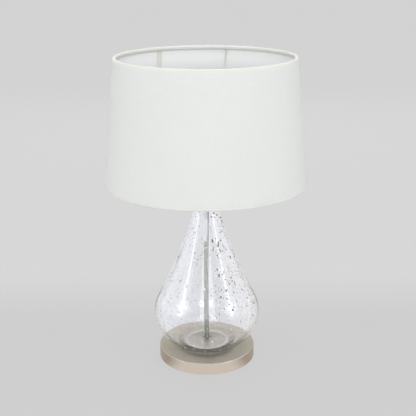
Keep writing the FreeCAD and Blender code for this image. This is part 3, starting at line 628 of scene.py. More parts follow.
def turned(profile: np.ndarray, columns: int) -> np.ndarray:
    """Turns a profile about Z: point (r, z) at the turn t goes to (r cos t, r sin t, z).

    Args:
        profile: rows of radius and height.
        columns: how many steps a full turn has.

    Returns:
        Points in a grid, profile by turn.
    """
    turn = steps_round(columns)
    radius, height = profile[:, :1], profile[:, 1:]
    return np.stack([radius * np.cos(turn), radius * np.sin(turn), height + 0 * turn], -1)


def rounded_outline(corners: list[tuple[float, float, float]], steps: int = 8) -> np.ndarray:
    """A closed outline with rounded corners: at each corner the arc of its radius touches both sides, and its
    points are its centre plus the radius along directions turned evenly from one side's normal to the other's.

    Args:
        corners: radius, height and rounding of each corner.
        steps: points an arc.

    Returns:
        Rows of radius and height.
    """
    table = np.asarray(corners, float)
    places, rounds = table[:, :2], table[:, 2]
    outline = []
    for index, (place, radius) in enumerate(zip(places, rounds)):
        if radius == 0:
            outline.append(place[None])
            continue
        before = places[index - 1] - place
        after = places[(index + 1) % len(places)] - place
        before, after = before / np.linalg.norm(before), after / np.linalg.norm(after)
        half = math.acos(float(np.clip(before @ after, -1, 1))) / 2
        centre = place + (before + after) / np.linalg.norm(before + after) * radius / math.sin(half)
        start = place + before * radius / math.tan(half) - centre
        end = place + after * radius / math.tan(half) - centre
        share = np.linspace(0, 1, steps)[:, None]
        sweep = math.pi - 2 * half
        arc = (np.sin((1 - share) * sweep) * start + np.sin(share * sweep) * end) / math.sin(sweep)
        outline.append(centre + arc)
    return np.concatenate(outline)


def evened(profile: np.ndarray, longest: float) -> np.ndarray:
    """A closed profile with points put in evenly on its sides, so that none is longer than asked.

    Args:
        profile: rows of radius and height.
        longest: the longest side allowed.

    Returns:
        The profile with more rows.
    """
    parts = []
    for start, end in zip(profile, np.roll(profile, -1, axis=0)):
        count = max(1, math.ceil(float(np.linalg.norm(end - start)) / longest))
        parts.append(start + (end - start) * (np.arange(count) / count)[:, None])
    return np.concatenate(parts)


def push_out(points: np.ndarray, turn: np.ndarray, move: np.ndarray) -> None:
    """Moves the points of a turned grid away from the Z axis, each by its own distance."""
    points[..., 0] += move * np.cos(turn)
    points[..., 1] += move * np.sin(turn)


def linked(name: str, data: bpy.types.ID) -> bpy.types.Object:
    """A new object in the scene round a mesh, a lamp or a camera.

    Args:
        name: its name.
        data: what it shows.

    Returns:
        The object.
    """
    made = bpy.data.objects.new(name, data)
    bpy.context.scene.collection.objects.link(made)
    return made


def mesh_piece(
    name: str, points: np.ndarray, faces: list[np.ndarray], finish: Finish, flat: np.ndarray | None = None
) -> bpy.types.Object:
    """Makes one smooth mesh object.

    Args:
        name: the piece's name.
        points: rows of x, y and z.
        faces: arrays of point numbers, one array a number of sides.
        finish: its finish.
        flat: one row of flat coordinates a point, for a pattern that follows the surface.

    Returns:
        The object, at the origin, linked to the scene.
    """
    mesh = bpy.data.meshes.new(name)
    mesh.from_pydata(points.reshape(-1, 3).tolist(), [], [face for block in faces for face in block.tolist()])
    mesh.polygons.foreach_set("use_smooth", np.ones(len(mesh.polygons), bool))
    if flat is not None:
        corner = np.zeros(len(mesh.loops), np.int32)
        mesh.loops.foreach_get("vertex_index", corner)
        mesh.uv_layers.new(name=FLAT_MAP).data.foreach_set("uv", flat[corner].astype(np.float32).ravel())
    mesh.materials.append(finish.material())
    mesh.update()
    LOG.info("%s: %d faces in %s", name, len(mesh.polygons), finish.name)
    return linked(name, mesh)


def dress(finishes: dict[str, Finish]) -> None:
    """Gives CAD nodes their finishes.

    Args:
        finishes: node name to finish.
    """
    for name, finish in finishes.items():
        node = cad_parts[name]
        if not node.material_slots:
            node.data.materials.append(None)
        for slot in node.material_slots:
            slot.material = finish.material()
        LOG.info("%s: CAD node in %s", name, finish.name)


# ---- Pieces

ZINC = Metal("zinc_plate", (190, 192, 194), 0.35, 0.08, brushing=Brushing.AROUND)
HOLDER_WHITE = Moulded("holder_white", (226, 225, 220), 0.35, dust=0.05)
CONTACT_BRASS = Metal("contact_brass", (206, 172, 106), 0.3)


class Assembly:
    """A sub-assembly of CAD nodes that need only a finish: each of its fields is the finish of the node that the
    field is named after."""

    def build(self) -> None:
        """Dresses the nodes."""
        dress({field.name: getattr(self, field.name) for field in fields(self)})


@dataclass
class Base(Assembly):
    """The round foot: a pressed cover over a cast weight, on a foam pad, with the cord's bushing."""

    base_cover: Finish = Metal(
        "satin_nickel", (206, 200, 186), 0.46, 0.05, 300.0, 0.32, dust=0.03, low_tone_and_painted_shade=(206, 197, 187),
        low_roughness=0.25, rise=(0.0244, 0.0249), brushing=Brushing.AROUND, line_scale=900.0, line_depth=0.000001
    )
    base_weight: Finish = Metal("cast_iron", (92, 90, 88), 0.6, line_scale=700.0, line_depth=0.0002)
    foot_pad: Finish = Moulded("black_foam", (44, 43, 42), 0.9, pore_scale=1600.0, pore_depth=0.0002)
    cord_bushing: Finish = Moulded("clear_vinyl", (206, 208, 204), 0.25, see_through=0.5)


@dataclass
class Stem(Assembly):
    """The thin tube up the middle of the glass and the fasteners under the weight."""

    # The tube's upper part carries a painted highlight with a painted dark edge.
    stem_tube: Finish = Metal(
        "stem_nickel", (168, 176, 167), 0.22, 0.06, 60.0, 0.08, brushing=Brushing.ALONG, bright_above=0.25
    )
    stem_washer: Finish = ZINC
    lock_washer: Finish = ZINC
    stem_nut: Finish = ZINC


@dataclass
class Neck(Assembly):
    """The fittings that clamp the glass: a gasket, a cap over the lip and a nut."""

    neck_gasket: Finish = Moulded("neck_gasket_rubber", (120, 120, 114), 0.6)
    neck_cap: Finish = Metal("neck_nickel", (206, 197, 186), 0.24, brushing=Brushing.AROUND)
    neck_nut: Finish = Metal("neck_nut_nickel", (196, 190, 180), 0.3, brushing=Brushing.AROUND)


@dataclass
class Lampholder(Assembly):
    """The lampholder: a plastic shell and core, brass contacts and the push bar."""

    holder_cap: Finish = HOLDER_WHITE
    holder_shell: Finish = HOLDER_WHITE
    holder_core: Finish = Moulded("holder_ceramic", (232, 230, 224), 0.25, pore_scale=900.0)
    grub_screw: Finish = Metal("grub_zinc", (186, 188, 190), 0.35)
    terminal_screws: Finish = CONTACT_BRASS
    centre_contact: Finish = CONTACT_BRASS
    screw_shell: Finish = Metal("socket_brass", (212, 180, 116), 0.28, brushing=Brushing.AROUND)
    switch_bar: Finish = Moulded("switch_black", (52, 52, 52), 0.35)


@dataclass
class Bulb(Assembly):
    """The bulb: an opal globe on a screw cap."""

    bulb_glass: Finish = Moulded("opal_globe", (240, 240, 236), 0.18, 0.03, pore_depth=0.000004, dust=0.05)
    bulb_cap: Finish = Metal("bulb_nickel", (196, 192, 184), 0.25, brushing=Brushing.AROUND)
    bulb_insulator: Finish = Moulded("black_glass", (30, 29, 32), 0.12)
    bulb_contact: Finish = Metal("soft_solder", (178, 178, 176), 0.4)


@dataclass
class ShadeFitting(Assembly):
    """The flat ring that carries the shade and the screwed collar that clamps it."""

    fitter_ring: Finish = Moulded("white_enamel", (222, 221, 216), 0.3, dust=0.05)
    shade_ring: Finish = Moulded("collar_white", (226, 225, 220), 0.35)


@dataclass(frozen=True)
class SeedBatch:
    """A batch of air seeds in the vessel's wall, or of painted marks for the shade and the glints that seeds show."""

    name: str
    count: int
    width: float  # their middle half width
    draw: int  # starts the random draws; batches with the same draw lie in the same places
    # A finish makes the batch painted marks: dark ones painted shade, white ones painted glints.
    finish: Finish | None = None  # their finish, or None for clear hollows
    spread: float = 0.4  # how widths spread, as a logarithm
    bearing: float = 0.0  # the middle of their turns, in degrees
    reach: float = 180.0  # how far they lie to each side of it
    heights: Span = (0.006, 0.319)  # their lowest and highest heights above the foot
    shift: float = 0.0  # how many widths they are moved round the vessel


OLIVE_SPREAD = {"spread": 0.35, "bearing": -42.0, "reach": 34.0, "heights": (0.1, 0.31)}


@dataclass
class GlassVessel:
    """The blown vessel, which holds small air seeds in its wall, its gasket and the grommet in its floor."""

    foot: float = 0.026  # the height of the vessel's foot
    height: float = 0.319  # from its foot to its lip
    wall: float = 0.003  # the wall's thickness
    floor: float = 0.007  # the height of the floor inside
    belly_offset: float = 0.0344  # from the axis to the centre of the belly's arc
    belly_radius: float = 0.0728  # the outer arc's radius
    belly_height: float = 0.072  # the arc's centre above the foot
    flank_angle: float = 26.8  # the turn in degrees at which the belly's arc ends
    flank_reach: float = 0.0427  # the handle of the flank's curve there
    neck_reach: float = 0.050  # its handle at the neck
    neck_radius: float = 0.02205  # outside radius of the neck
    punt: float = 0.0025  # how far the underside rises at the hole
    hole: float = 0.007  # radius of the hole in the floor
    seat: float = 0.038  # inside radius of the contact ring
    lift: float = 0.00008  # how far the contact ring stays off the gasket, so that they don't lie in one plane
    ripple: float = 0.00012  # how far the blown surface swells and sinks
    outer_phase: float = 0.4  # where the waves of the outside's swell start, in radians
    inner_phase: float = 1.9  # where the inside's start
    columns: int = 192  # steps round the vessel
    seed_rings: int = 4  # rings of points on a seed between its ends
    seed_sides: int = 8  # points on such a ring
    seed_widths: Span = (0.25 * MM, 1.9 * MM)  # the smallest and largest half width of a seed
    seed_stretch: float = 1.2  # how much longer than wide the longest seed is, as a share
    seed_depths: Span = (0.42, 0.58)  # how deep a hollow seed lies, as a share of the wall
    seed_cover: float = 0.45 * MM  # the least glass over it
    # Painted seed marks stand as low domes this far out of the skin.
    painted_mark_lift: float = 0.22 * MM  # how far a toned seed stands out of the skin
    hollows: SeedBatch = SeedBatch("hollow_seeds", 900, 0.6 * MM, 7)  # the clear seeds in its wall
    # the seeds that look dark or bright
    # painted marks of seeds: grey and olive ones are painted shade for the dark rims that seeds show, white ones are
    # painted glints beside them
    toned_seeds: tuple[SeedBatch, ...] = (
        SeedBatch("painted_grey_seed_shades", 520, 0.75 * MM, 11, Moulded("painted_grey_seed_shade", (176, 176, 172), 0.3)),
        SeedBatch("painted_seed_sparkles", 260, 0.8 * MM, 12, Moulded("painted_seed_sparkle", (252, 253, 255), 0.3)),
        SeedBatch("painted_olive_seed_shades", 130, MM, 13, Moulded("painted_olive_seed_shade", (104, 98, 74), 0.3), **OLIVE_SPREAD),
        SeedBatch("painted_glints_of_olive_seeds", 130, MM, 13, Moulded("painted_glint_of_seed", (254, 254, 255), 0.3), **OLIVE_SPREAD, shift=1.5),
    )
    glass: Finish = Glass("seeded_glass", (254, 254, 255), 0.0, 0.0, tone_shift=0.0, heel_radii=(0.044, 0.046))
    gasket: Finish = Moulded("pale_gasket", (196, 192, 184), 0.5)
    grommet: Finish = Moulded("clear_grommet", (190, 192, 186), 0.3, see_through=0.4)

    def side(self, inset: float, start_height: float) -> np.ndarray:
        """One side of the wall from its foot to the neck: an arc of the belly, then a cubic curve whose four
        control points are the arc's end, a handle along the arc's tangent, a handle under the neck and the neck.

        Args:
            inset: how far inside the outer side it lies.
            start_height: its lowest height above the foot.

        Returns:
            Rows of radius and height above the foot.
        """
        radius = self.belly_radius - inset
        lean = math.radians(self.flank_angle)
        turn = np.linspace(-math.asin((self.belly_height - start_height) / radius), lean, 70)
        arc = np.stack([self.belly_offset + radius * np.cos(turn), self.belly_height + radius * np.sin(turn)], -1)
        neck = np.array([self.neck_radius - inset, self.height])
        handle = arc[-1] + self.flank_reach * np.array([-math.sin(lean), math.cos(lean)])
        upright = neck - np.array([0, self.neck_reach])
        share = np.linspace(0, 1, 90)[1:, None]
        rest = 1 - share
        curve = rest**3 * arc[-1] + 3 * rest**2 * share * handle + 3 * rest * share**2 * upright + share**3 * neck
        return np.concatenate([arc, curve])

    def swell(self, turn: np.ndarray, height: np.ndarray, phase: float) -> np.ndarray:
        """How far the blown wall stands out: a sum of slow waves of turn and height, faded out at the foot and
        at the neck so that the gaskets still meet flat glass.

        Args:
            turn: the turns of the places, in radians.
            height: their heights above the foot.
            phase: where the waves start, in radians.

        Returns:
            The distance away from the axis.
        """
        rise = np.clip(height / self.height, 0, 1)
        fade = np.sin(math.pi * np.clip(rise * 1.06 - 0.03, 0, 1)) ** 0.5
        waves = (
            np.sin(3 * turn + 9 * rise + phase)
            + 0.6 * np.sin(7 * turn - 5 * rise + 2 * phase)
            + 0.5 * np.sin(2 * turn + 23 * rise + 3 * phase)
            + 0.3 * np.sin(13 * turn + 4 * rise + phase)
        )
        return self.ripple * fade * waves

    def shell(self) -> tuple[np.ndarray, np.ndarray]:
        """The vessel's points and faces: its closed half section turned about Z, each point then moved out or in
        by the swell, the inside by a swell of its own so that the wall is uneven as blown glass is.

        Returns:
            Points and quads.
        """
        outside, inside = self.side(0.0, 0.0), self.side(self.wall, self.floor)[::-1]
        floor = np.linspace([inside[-1, 0], self.floor], [self.hole, self.floor], 26)[1:]
        bore = np.linspace([self.hole, self.floor], [self.hole, self.punt], 5)[1:]
        punt = np.linspace([self.hole, self.punt], [self.seat, 0.0], 20)[1:]
        contact = np.linspace([self.seat, 0.0], outside[0], 6)[1:-1]
        profile = np.concatenate([outside, inside, floor, bore, punt, contact])
        points = turned(profile, self.columns)
        turn = steps_round(self.columns)
        height = profile[:, 1:] + 0 * turn
        row = np.arange(len(profile))[:, None]
        inner = (row >= len(outside)) & (row < len(outside) + len(inside))
        move = np.where(inner, self.swell(turn, height, self.inner_phase), 0.0)
        move = np.where(row < len(outside), self.swell(turn, height, self.outer_phase), move)
        push_out(points, turn, move)
        points[..., 2] += self.foot + np.where(height < self.lift, self.lift, 0.0)
        return points.reshape(-1, 3), grid_faces(len(profile), self.columns)

    def seeds(self, batch: SeedBatch) -> tuple[np.ndarray, np.ndarray, np.ndarray]:
        """Small stretched air seeds in the wall. A seed is an ellipsoid whose three half axes lie up the wall, round
        it and through it: point = centre + a cos p U + b sin p cos q R + c sin p sin q N.

        Args:
            batch: how many seeds, how large and where.

        Returns:
            Points, quads and the triangles at the seeds' ends. They face outwards, but into a hollow one.
        """
        draw = np.random.default_rng(batch.draw)
        side = self.side(0.0, 0.0)
        steps = np.linalg.norm(np.diff(side, axis=0), axis=1)
        middle = (side[1:] + side[:-1]) / 2
        inside = (middle[:, 1] > batch.heights[0]) & (middle[:, 1] < batch.heights[1])
        weight = steps * middle[:, 0] * np.where(inside, 1.0, 0.0)
        part = draw.choice(len(steps), batch.count, p=weight / weight.sum())
        share = draw.random(batch.count)[:, None]
        place = side[part] + (side[part + 1] - side[part]) * share
        along = (side[part + 1] - side[part]) / steps[part][:, None]
        out = np.stack([along[:, 1], -along[:, 0]], -1)
        turn = np.radians(batch.bearing + batch.reach * draw.uniform(-1, 1, batch.count))
        width = np.clip(draw.lognormal(math.log(batch.width), batch.spread, batch.count), *self.seed_widths)
        stretch = 1 + draw.random(batch.count) ** 2 * self.seed_stretch
        turn = turn + batch.shift * width / place[:, 0]
        if batch.finish is None:
            depth = draw.uniform(*self.seed_depths, batch.count) * self.wall
            thick = np.minimum(width, np.minimum(depth, self.wall - depth) - self.seed_cover)
        else:
            # Painted seed marks sit on the skin, as flat domes of painted shade or painted glint.
            depth = -self.swell(turn, place[:, 1], self.outer_phase)
            thick = np.full(batch.count, self.painted_mark_lift)
        centre = place - out * depth[:, None]
        spin = np.stack([np.cos(turn), np.sin(turn)], -1)

        def lifted(pair: np.ndarray) -> np.ndarray:
            """A radius and height pair as x, y and z at each seed's turn."""
            return np.stack([pair[:, 0] * spin[:, 0], pair[:, 0] * spin[:, 1], pair[:, 1]], -1)

        up, through = lifted(along), lifted(out)
        around = np.stack([-spin[:, 1], spin[:, 0], 0 * turn], -1)
        tilt, roll = np.linspace(0, math.pi, self.seed_rings + 2)[1:-1], steps_round(self.seed_sides)
        rings = [np.outer(np.sin(tilt), wave(roll)).ravel() for wave in (np.cos, np.sin)]
        ring = np.stack([np.repeat(np.cos(tilt), self.seed_sides), *rings], -1)
        ball = np.concatenate([ring, [[1, 0, 0], [-1, 0, 0]]])
        axes = np.stack([up * (width * stretch)[:, None], around * width[:, None], through * thick[:, None]], 1)
        points = (lifted(centre) + (0, 0, self.foot))[:, None] + np.einsum("pk,nkx->npx", ball, axes)
        first = np.arange(self.seed_sides)
        after, last, tip = np.roll(first, -1), len(ring) - self.seed_sides, len(ring) + 0 * first
        ends = [np.stack([tip, after, first], -1), np.stack([tip + 1, last + first, last + after], -1)]
        start = np.arange(batch.count)[:, None, None] * len(ball)
        quads = (grid_faces(self.seed_rings, self.seed_sides, False)[None] + start).reshape(-1, 4)
        triangles = (np.concatenate(ends)[None] + start).reshape(-1, 3)
        if batch.finish is not None:
            quads, triangles = quads[:, ::-1], triangles[:, ::-1]
        return points.reshape(-1, 3), quads, triangles

    def build(self) -> None:
        """Builds the vessel with its clear seeds as hollows in the wall, and painted marks for the dark rims and
        glints of seeds as low domes on its skin, and dresses the rubber round it. The vessel throws no shadow, because
        clear glass would black out the light on the disc under it."""
        points, faces = self.shell()
        seed_points, quads, triangles = self.seeds(self.hollows)
        faces = [faces, quads + len(points), triangles + len(points)]
        pieces = [mesh_piece("glass_vessel", np.concatenate([points, seed_points]), faces, self.glass)]
        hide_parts("glass_body")
        pieces[0].visible_shadow = False
        for batch in self.toned_seeds:
            seed_points, quads, triangles = self.seeds(batch)
            pieces.append(mesh_piece(batch.name, seed_points, [quads, triangles], batch.finish))
        for piece in pieces:
            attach(piece, "lamp")
        dress({"glass_body": self.glass, "glass_seat": self.gasket, "stem_grommet": self.grommet})


@dataclass
class Shade:
    """The tapered drum: linen laminated to a liner, rolled over two wire rings that three bent wires carry."""

    bottom: float = 0.375  # height of the lower edge
    height: float = 0.245  # from edge to edge
    bottom_radius: float = 0.200  # outside radius at the lower edge
    top_radius: float = 0.175  # outside radius at the upper edge
    cloth: float = 0.0006  # thickness of the linen
    backing: float = 0.00065  # liner and glue between the linen and a ring
    wire: float = 0.00175  # radius of a ring's wire
    play: float = 0.00015  # room round a ring
    ring_inset: float = 0.0006  # how much further in a ring lies than its wire needs
    fold: float = 0.008  # how far the linen is turned down inside
    edge_round: float = 0.0022  # how round the rolled edge is
    seam_azimuth: float = 122.6  # where the cloth's ends overlap, in degrees
    seam_width: float = 0.013  # how wide they overlap
    slack: float = 0.0002  # how far the cloth swells in between the rings
    taut_radius: float = 0.1736  # the radius inside which it doesn't
    columns: int = 288  # steps round the shade
    longest: float = 0.006  # the longest side of its outline's steps
    linen: Finish = Linen(
        "linen", (236, 238, 235), 0.85, 0.05, 12.0, 0.015, hem_bands=((0.372, 0.3762), (0.6165, 0.623))
    )
    # The liner is painted darker low down and left white near its top: a painted shade inside the drum.
    liner: Finish = Moulded(
        "liner_film", (255, 255, 255), 0.55, cloud_scale=8.0, tone_shift=0.01, pore_scale=700.0, pore_depth=0.00002,
        low_tone_and_painted_shade=(220, 221, 222), rise=(0.535, 0.595)
    )
    tape: Finish = Moulded("seam_tape", (238, 238, 230), 0.6)
    enamel: Finish = Moulded("wire_enamel", (212, 213, 206), 0.4)

    def cone(self, height: float) -> float:
        """The linen's outside radius at a height above the lower edge."""
        return self.bottom_radius - (self.bottom_radius - self.top_radius) * height / self.height

    def outline(self) -> np.ndarray:
        """The cloth's closed half section: up the outside, over the top ring, a fold down inside it, back along
        the cloth's own inside, and the same way under the bottom ring.

        Returns:
            Rows of radius and height above the lower edge.
        """
        inset = self.cloth + self.backing + self.play + self.wire + self.ring_inset
        level = self.cloth + self.play + self.wire
        taper = (self.bottom_radius - self.top_radius) / self.height
        reach = self.wire + self.play
        top = self.cone(self.height - level) - inset - reach
        low = self.cone(level) - inset - taper * self.wire - reach
        inner, tall = self.edge_round - self.cloth, self.height
        return rounded_outline([
            (self.bottom_radius, 0, self.edge_round),
            (self.top_radius, tall, self.edge_round),
            (top - self.cloth, tall, self.edge_round),
            (top - self.cloth, tall - self.fold, 0),
            (top, tall - self.fold, 0),
            (top, tall - self.cloth, inner),
            (self.cone(tall - self.cloth) - self.cloth, tall - self.cloth, inner),
            (self.cone(self.cloth) - self.cloth, self.cloth, inner),
            (low, self.cloth, inner),
            (low, self.fold, 0),
            (low - self.cloth, self.fold, 0),
            (low - self.cloth, 0, self.edge_round),
        ])

    def flat_places(self, points: np.ndarray) -> np.ndarray:
        """Where each point lies on the cloth before it was rolled: the cone is laid out flat, so a point at the
        turn t and the slant distance d from the cone's tip goes to (d sin kt, d cos kt), k the cone's sine.

        Args:
            points: rows of x, y and z on the rolled cloth.

        Returns:
            Rows of two flat coordinates.
        """
        taper = (self.bottom_radius - self.top_radius) / self.height
        sine = taper / math.hypot(1, taper)
        turn = np.arctan2(points[:, 1], points[:, 0]) - math.radians(self.seam_azimuth)
        turn = np.mod(turn, FULL_TURN) - math.pi
        slant = (self.bottom_radius - taper * (points[:, 2] - self.bottom)) / sine
        return np.stack([slant * np.sin(sine * turn), slant * np.cos(sine * turn)], -1)

    def fabric(self) -> bpy.types.Object:
        """The linen: its outline turned about Z, with a slight slack between the rings, and flat coordinates for
        its weave.

        Returns:
            The linen's object.
        """
        profile = evened(self.outline(), self.longest)
        points = turned(profile, self.columns)
        turn = steps_round(self.columns)
        rise = np.clip(profile[:, 1:] / self.height, 0, 1)
        waves = 1 + 0.6 * np.sin(5 * turn + 1.3) + 0.4 * np.sin(9 * turn + 4 * rise)
        swell = -self.slack * np.sin(math.pi * rise) * waves
        push_out(points, turn, np.where(profile[:, :1] > self.taut_radius, swell, 0.0))
        points = points.reshape(-1, 3)
        points[:, 2] += self.bottom
        faces = grid_faces(len(profile), self.columns)
        return mesh_piece("shade_linen", points, [faces], self.linen, self.flat_places(points))

    def build(self) -> None:
        """Builds the linen and dresses the liner, the seam's strip, the rings and the arms."""
        linen = self.fabric()
        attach(linen, "shade")
        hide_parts("shade_fabric")
        slant = math.hypot(self.height, self.bottom_radius - self.top_radius)
        cut = math.pi * (self.bottom_radius + self.top_radius) * slant
        cut += FULL_TURN * (self.bottom_radius + self.top_radius) * self.fold + self.seam_width * slant
        wires = ("top_ring", "bottom_ring", "shade_arm_1", "shade_arm_2", "shade_arm_3")
        dress({"shade_fabric": self.linen, "shade_liner": self.liner, "lap_seam": self.tape})
        dress({name: self.enamel for name in wires})


# ---- Studio


@dataclass(frozen=True)
class Softbox:
    """One soft lamp."""

    name: str
    place: Place
    aim: float  # the height of the point on the lamp's axis that it looks at
    size: Span  # its width and height
    glow: float  # the light that it gives, as a multiple of white
    mirrored: bool = False  # whether gloss shows it
    through: bool = True  # whether glass shows it

    def build(self) -> None:
        """Hangs the lamp. A flat lamp of power P and area A glows by P / (pi A)."""
        data = bpy.data.lights.new(self.name, "AREA")
        data.shape = "RECTANGLE"
        data.size, data.size_y = self.size
        data.energy = self.glow * math.pi * self.size[0] * self.size[1]
        lamp = linked(self.name, data)
        way = Vector((0, 0, self.aim)) - Vector(self.place)
        lamp.matrix_world = Matrix.Translation(self.place) @ way.to_track_quat("-Z", "Y").to_matrix().to_4x4()
        lamp.visible_camera = False
        lamp.visible_glossy = self.mirrored
        lamp.visible_transmission = self.through


@dataclass
class Studio:
    """The pale floor, the soft lamps and the camera at the photograph's angle."""

    backdrop: Colour = (217, 217, 217)  # the pale grey of the backdrop and the far floor, 0 to 255
    # Painted shade: the floor is painted darker under the lamp and in front of it.
    near_painted_shade_tone: Colour = (207, 207, 207)  # the floor's tone under the lamp and in front of it
    far_tone: Colour = (216, 216, 216)  # its tone half a metre behind the lamp
    near_depths: Span = (0.12, 0.48)  # from where to where behind the lamp the first goes over to the second
    far_depths: Span = (0.7, 2.0)  # from where to where that goes over to the backdrop's
    side_tone: Colour = (196, 188, 180)  # its tone where a reflection shows it to the left and the right
    side_ways: Span = (0.3, 0.9)  # how far to the side the way to a spot points where that tone starts and is full
    front_glow: Light = (0.97, 0.94, 0.9)  # how bright a reflection shows it in front of the lamp
    # how far to the front the way to a spot points where that is full and where it ends
    front_ways: Span = (-0.85, -0.4)
    front_depths: Span = (-1.0, -0.35)  # from where to where in front of the lamp it goes down to its own strength
    front_boost: float = 1.6  # how many times as strong it is further out
    through_tone: Colour = (226, 227, 230)  # its tone where glass shows it behind the lamp's middle
    # its tones where glass shows it, to the left and to the right
    through_sides: tuple[Colour, Colour] = ((238, 240, 244), (238, 238, 239))
    # Painted shade also darkens what glass shows of the floor close to the lamp.
    through_near: float = 0.9  # the share of them that is left close to the lamp
    middle_width: float = 0.02  # how far from the axis the left goes over to the right
    side_widths: Span = (0.03, 0.1)  # from where to where off the axis the sides' tones come in
    floor_radius: float = 40.0  # how far the floor reaches
    floor_sides: int = 64
    shadow: float = 0.12  # how much of the floor's tone comes from the light that falls on it
    ambient: float = 0.45  # the light from all round, as a share of white
    ambient_colour: Light = (0.97, 0.985, 1.0)  # its tint
    ahead: Light = (1.0, 1.01, 1.06)  # what a reflection shows above the floor in front of the lamp
    behind: Light = (0.92, 0.9, 0.86)  # what it shows behind the lamp
    # how far to the back a way points where the first starts to change and where it is the second
    sky_ways: Span = (0.3, 0.85)
    softboxes: tuple[Softbox, ...] = (
        Softbox("front_panel", (0.1, -2.7, 1.5), 0.5, (1.8, 1.2), 3.6),
        Softbox("left_panel", (-2.3, -1.0, 1.35), 0.45, (1.6, 2.0), 1.35),
        Softbox("right_panel", (2.3, -1.2, 1.35), 0.45, (1.6, 2.0), 1.4),
        Softbox("left_strip", (-1.9, -0.95, 0.95), 0.3, (0.34, 0.9), 2.6, mirrored=True),
        Softbox("right_strip", (1.85, -1.1, 0.95), 0.3, (0.34, 0.9), 2.6, mirrored=True),
        Softbox("overhead_panel", (0.0, -0.1, 2.4), 0.3, (1.8, 1.8), 1.4),
        Softbox("rear_panel", (0.0, 2.7, 1.5), 0.45, (2.2, 1.6), 1.5, through=False),
    )
    camera_place: Place = (0.0, -1.60791, 0.829267)
    pitch: float = 17.6033  # how far the camera looks down, in degrees
    yaw: float = 0.1283  # how far it looks to the right
    roll: float = 0.2697  # how far it is turned clockwise
    focal_pixels: float = 845.925  # its focal length in pixels of the photograph
    clip: Span = (0.05, 100.0)  # the nearest and farthest that it sees

    def seen(self, graph: Graph) -> Socket:
        """1 for the rays that show the background: the camera's, a reflection's and one through glass.

        Args:
            graph: the graph that the nodes go into.

        Returns:
            The share, 0 or 1.
        """
        path = graph.add("ShaderNodeLightPath").outputs
        both = graph.math("MAXIMUM", path["Is Camera Ray"], path["Is Glossy Ray"])
        return graph.math("MAXIMUM", both, path["Is Transmission Ray"])

    def world(self) -> None:
        """A backdrop of one grey where it is seen, and an even light where it isn't."""
        bpy.context.scene.world = bpy.data.worlds.new("studio")
        graph = Graph(emptied(bpy.context.scene.world))
        back = graph.split(graph.add("ShaderNodeTexCoord").outputs["Generated"])[1]
        sky = graph.tint(graph.eased(back, self.sky_ways), (*self.ahead, 1.0), (*self.behind, 1.0))

        def background(colour: Socket | tuple, strength: float = 1.0) -> Socket:
            """A Background shader."""
            return graph.add("ShaderNodeBackground", {"Color": colour, "Strength": strength}).outputs[0]

        soft = background((*self.ambient_colour, 1.0), self.ambient)
        mix = graph.mixed(self.seen(graph), soft, background(sky))
        camera_ray = graph.add("ShaderNodeLightPath").outputs["Is Camera Ray"]
        mix = graph.mixed(camera_ray, mix, background(linear(self.backdrop)))
        graph.add("ShaderNodeOutputWorld", {"Surface": mix})

    def mirrored(self, graph: Graph, place: Socket, grey: Socket) -> Socket:
        """The floor's colour where a reflection shows it.

        Args:
            graph: the floor's graph.
            place: the spot, without its height.
            grey: the tone that the camera sees there.

        Returns:
            The colour.
        """
        across, ahead, _ = graph.split(graph.vector("NORMALIZE", place))
        front = graph.eased(ahead, self.front_ways, (1.0, 0.0))
        reach = graph.eased(graph.split(place)[1], self.front_depths, (self.front_boost, 1.0))
        aside = graph.eased(graph.math("ABSOLUTE", across), self.side_ways)
        return graph.tint(front, graph.tint(aside, grey, linear(self.side_tone)), graph.scaled(self.front_glow, reach))

    def through(self, graph: Graph, place: Socket, near: Socket) -> Socket:
        """The floor's colour where glass shows it.

        Args:
            graph: the floor's graph.
            place: the spot, without its height.
            near: 0 close to the lamp and 1 further back.

        Returns:
            The colour.
        """
        side = graph.split(place)[0]
        sides = graph.eased(side, (-self.middle_width, self.middle_width))
        sides = graph.tint(sides, *(linear(tone) for tone in self.through_sides))
        outward = graph.eased(graph.math("ABSOLUTE", side), self.side_widths)
        tone = graph.tint(outward, linear(self.through_tone), sides)
        return graph.scaled(tone, graph.ranged(near, (0.0, 1.0), (self.through_near, 1.0)))

    def floor(self) -> None:
        """A wide flat floor whose tone is mostly its own where it is seen, so that it keeps a faint shadow."""
        made = bpy.data.materials.new("pale_floor")
        graph = Graph(emptied(made))
        place = graph.flat(graph.add("ShaderNodeTexCoord").outputs["Object"])
        depth = graph.split(place)[1]
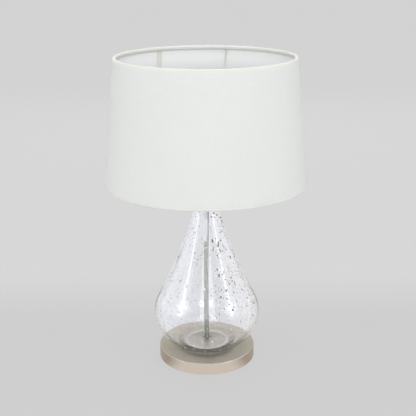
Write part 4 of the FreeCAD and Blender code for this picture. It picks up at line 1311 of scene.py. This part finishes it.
        # Painted shade: the floor goes from a darker tone near the lamp to a lighter one behind it.
        near = graph.eased(depth, self.near_depths)
        grey = graph.tint(near, linear(self.near_painted_shade_tone), linear(self.far_tone))
        grey = graph.tint(graph.eased(depth, self.far_depths), grey, linear(self.backdrop))
        path = graph.add("ShaderNodeLightPath").outputs
        grey = graph.tint(path["Is Glossy Ray"], grey, self.mirrored(graph, place, grey))
        grey = graph.tint(path["Is Transmission Ray"], grey, self.through(graph, place, near))
        matt = graph.add("ShaderNodeBsdfDiffuse", {"Color": grey}).outputs[0]
        glow = graph.add("ShaderNodeEmission", {"Color": grey, "Strength": 1.0}).outputs[0]
        own = graph.times(self.seen(graph), 1 - self.shadow)
        graph.add("ShaderNodeOutputMaterial", {"Surface": graph.mixed(own, matt, glow)})
        turn = steps_round(self.floor_sides)
        rim = np.stack([np.cos(turn), np.sin(turn), 0 * turn], -1) * self.floor_radius
        mesh = bpy.data.meshes.new("floor")
        mesh.from_pydata(rim.tolist(), [], [list(range(self.floor_sides))])
        mesh.materials.append(made)
        floor = linked("floor", mesh)

    def camera(self) -> None:
        """The camera: its axes are the photograph's right, up and backward directions, turned by the roll."""
        pitch, yaw, roll = (math.radians(angle) for angle in (self.pitch, self.yaw, self.roll))
        forward = np.array([math.sin(yaw) * math.cos(pitch), math.cos(yaw) * math.cos(pitch), -math.sin(pitch)])
        right = np.array([math.cos(yaw), -math.sin(yaw), 0.0])
        down = np.cross(forward, right)
        across = math.cos(roll) * right + math.sin(roll) * down
        below = -math.sin(roll) * right + math.cos(roll) * down
        place = np.eye(4)
        place[:3] = np.stack([across, -below, -forward, self.camera_place], -1)
        data = bpy.data.cameras.new("camera")
        data.sensor_width = SENSOR_WIDTH
        data.lens = self.focal_pixels / IMAGE_PIXELS * SENSOR_WIDTH
        data.clip_start, data.clip_end = self.clip
        camera = linked("camera", data)
        camera.matrix_world = Matrix(place.tolist())
        bpy.context.scene.camera = camera

    def build(self) -> None:
        """Sets up the whole studio."""
        bpy.context.scene.view_settings.view_transform = "Standard"
        self.world()
        self.floor()
        for softbox in self.softboxes:
            softbox.build()
        self.camera()


def main() -> None:
    """Builds the lamp's pieces in order from the foot up, then the studio."""
    logging.basicConfig(level=logging.INFO, format="%(message)s")
    for assembly in (Base(), Stem(), GlassVessel(), Neck(), Lampholder(), Bulb(), ShadeFitting(), Shade()):
        LOG.info("building %s", type(assembly).__name__)
        assembly.build()
    Studio().build()


if __name__ == "__main__":
    main()
